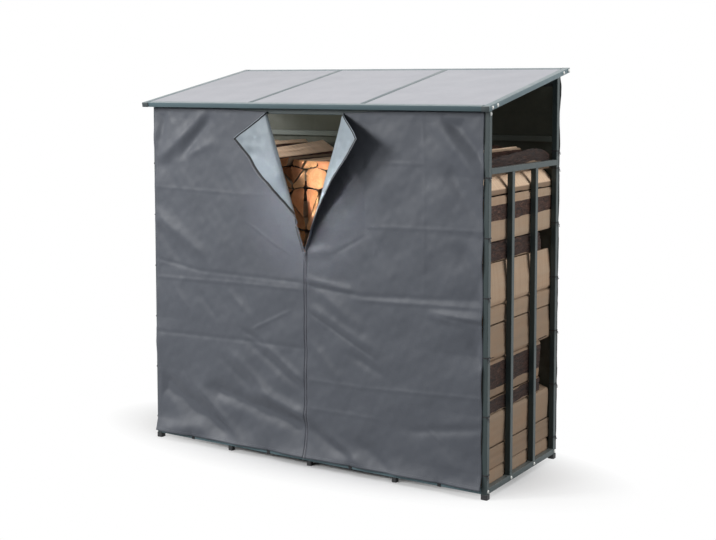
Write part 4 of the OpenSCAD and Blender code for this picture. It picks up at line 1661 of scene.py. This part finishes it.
    def halves(self, whole, rng):
        """A log split once more along a slanting line, as two logs with a crack between them."""
        outline = whole.outline
        middle = outline.mean(0) + rng.normal(0, 0.006, 2)
        angle = (1 if rng.random() < 0.5 else -1) * rng.uniform(0.5, 1.2)
        made = []
        for side in (1, -1):
            facing = angle + side * math.pi / 2
            ahead = heading(facing)
            part = clipped(outline, middle + ahead * 0.0012, -ahead)
            near = whole.near + 0.02 * rng.random()
            log = SplitLog((part, near, whole.far), rng, facing, 0.7)
            log.tone, log.slant = rng.random(), 0.16
            made.append((log, SPLIT_DETAIL))
        return made


# Lamps: name, place, target, width and power, then how far a beam spreads and whether it shows in gloss
LAMPS = [
    ("Key", (-4.4, -5.0, 3.4), (0.0, -0.2, 0.9), 1.8, 290, math.pi, True),
    ("Front", (-2.4, -6.4, 2.6), (0.0, -0.2, 1.2), 1.2, 85, math.pi, True),
    ("Opening", (-0.9, -4.8, 1.7), (COVER_X, FRONT_Y, 1.2), 0.3, 0.72, math.radians(8), False),
    ("Top", (0.6, -0.6, 5.6), (0.0, 0.0, 1.0), 3.0, 150, math.pi, True),
    ("Right", (5.6, 1.3, 2.4), (0.8, 0.1, 1.0), 3.2, 185, math.pi, True),
    ("Inside", (-0.5, -0.26, 1.57), (-0.2, 0.42, 1.62), 0.12, 1.8, math.pi, False),
]


class LOGSTORE_OT_stage(Maker, bpy.types.Operator):
    """Sets the floor, the lights and the camera"""

    bl_idname = "logstore.stage"
    bl_label = "Stage"

    def execute(self, context):
        scene = context.scene
        scene.view_settings.view_transform = "Standard"
        self.camera(scene, scene.logstore_stage)
        self.world(scene, scene.logstore_stage)
        self.floor()
        for lamp in LAMPS:
            self.lamp(scene, *lamp)
        return {"FINISHED"}

    def camera(self, scene, settings):
        """Camera that stands where the photograph was taken from."""
        data = bpy.data.cameras.new("Camera")
        data.sensor_fit = "HORIZONTAL"
        data.sensor_width = 36
        data.lens = settings.focal
        data.shift_x, data.shift_y = settings.shift
        eye = bpy.data.objects.new("Camera", data)
        scene.collection.objects.link(eye)
        yaw, pitch, roll = settings.yaw, settings.pitch, settings.roll
        ahead = Vector((-math.sin(yaw) * math.cos(pitch), math.cos(yaw) * math.cos(pitch), math.sin(pitch)))
        level = Vector((math.cos(yaw), math.sin(yaw), 0))
        above = level.cross(ahead)
        right = level * math.cos(roll) + above * math.sin(roll)
        up = -level * math.sin(roll) + above * math.cos(roll)
        turn = Matrix((right, up, -ahead)).transposed()
        eye.matrix_world = Matrix.Translation(Vector(settings.eye) + Vector((0, FRONT_Y, 0))) @ turn.to_4x4()
        scene.camera = eye

    def world(self, scene, settings):
        """Even light, with white where the camera or a reflection sees past the floor."""
        scene.world = bpy.data.worlds.new("Studio")
        scene.world.use_nodes = True
        tree = scene.world.node_tree
        tree.nodes.clear()
        path = add_node(tree, "ShaderNodeLightPath").outputs
        mirrored = maths(tree, "MAXIMUM", path["Is Glossy Ray"], path["Is Transmission Ray"])
        seen = maths(tree, "MAXIMUM", path["Is Camera Ray"], mirrored)
        light = add_node(tree, "ShaderNodeBackground", {"Color": (0.96, 0.98, 1.0), "Strength": settings.ambient})
        white = add_node(tree, "ShaderNodeBackground", {"Color": (1, 1, 1), "Strength": 1.0})
        mixed = add_node(tree, "ShaderNodeMixShader", {0: seen, 1: light.outputs[0], 2: white.outputs[0]})
        add_node(tree, "ShaderNodeOutputWorld", {0: mixed.outputs[0]})

    def floor(self):
        """White floor that shows soft shadows near the part and fades to plain white."""
        size = 30.0
        verts = [(-size, -size, 0), (size, -size, 0), (size, size, 0), (-size, size, 0)]
        material, tree, surface = shader("Floor")
        path = add_node(tree, "ShaderNodeLightPath").outputs
        seen = maths(tree, "MAXIMUM", path["Is Camera Ray"], path["Is Glossy Ray"])
        dress(tree, surface, mix(tree, seen, (0.14,) * 3, (0.9,) * 3), 0.9, None, 0.0)
        far = distance_of(tree, add_node(tree, "ShaderNodeTexCoord").outputs["Object"], (1.0, 2.4, 1.0))
        fade = add_node(
            tree, "ShaderNodeMapRange",
            {"Value": far, "From Min": 0.75, "From Max": 1.45, "To Min": 0.0, "To Max": 1.0}).outputs["Result"]
        white = add_node(tree, "ShaderNodeEmission", {"Color": (1, 1, 1), "Strength": 1.0})
        mixed = add_node(
            tree, "ShaderNodeMixShader",
            {0: maths(tree, "MULTIPLY", fade, seen), 1: surface.outputs[0], 2: white.outputs[0]})
        tree.links.new(mixed.outputs[0], tree.nodes["Material Output"].inputs["Surface"])
        new_piece("floor", verts, [(0, 1, 2, 3)], material)

    def lamp(self, scene, name, place, target, size, power, spread, mirrored):
        """Square lamp aimed at a target."""
        data = bpy.data.lights.new(name, "AREA")
        data.shape = "SQUARE"
        data.size, data.energy, data.spread = size, power, spread
        lamp = bpy.data.objects.new(name, data)
        lamp.location = place
        lamp.visible_glossy, lamp.visible_camera = mirrored, False
        lamp.rotation_euler = (Vector(target) - Vector(place)).to_track_quat("-Z", "Y").to_euler()
        scene.collection.objects.link(lamp)


class LOGSTORE_PT_panel(bpy.types.Panel):
    """Lists the makers in the 3D view's sidebar"""

    bl_idname = "LOGSTORE_PT_panel"
    bl_label = "Log store"
    bl_space_type = "VIEW_3D"
    bl_region_type = "UI"
    bl_category = "Log store"

    def draw(self, context):
        for maker in MAKERS:
            self.layout.operator(maker.bl_idname)


SETTINGS = {
    "logstore_cover": CoverSettings,
    "logstore_finish": FinishSettings,
    "logstore_logs": LogSettings,
    "logstore_stage": StageSettings,
}
MAKERS = [
    LOGSTORE_OT_stage, LOGSTORE_OT_frame, LOGSTORE_OT_roof, LOGSTORE_OT_front_cover, LOGSTORE_OT_zip,
    LOGSTORE_OT_back_cover, LOGSTORE_OT_webbing, LOGSTORE_OT_bolts, LOGSTORE_OT_logs,
]


def register():
    """Adds the settings, makers and panel."""
    for cls in (*SETTINGS.values(), *MAKERS, LOGSTORE_PT_panel):
        bpy.utils.register_class(cls)
    for name, cls in SETTINGS.items():
        setattr(bpy.types.Scene, name, PointerProperty(type=cls))


def unregister():
    """Takes them out again."""
    for name in SETTINGS:
        delattr(bpy.types.Scene, name)
    for cls in reversed((*SETTINGS.values(), *MAKERS, LOGSTORE_PT_panel)):
        bpy.utils.unregister_class(cls)


def main():
    """Makes every piece."""
    register()
    for maker in MAKERS:
        group, name = maker.bl_idname.split(".")
        getattr(getattr(bpy.ops, group), name)()


if __name__ == "__main__":
    main()
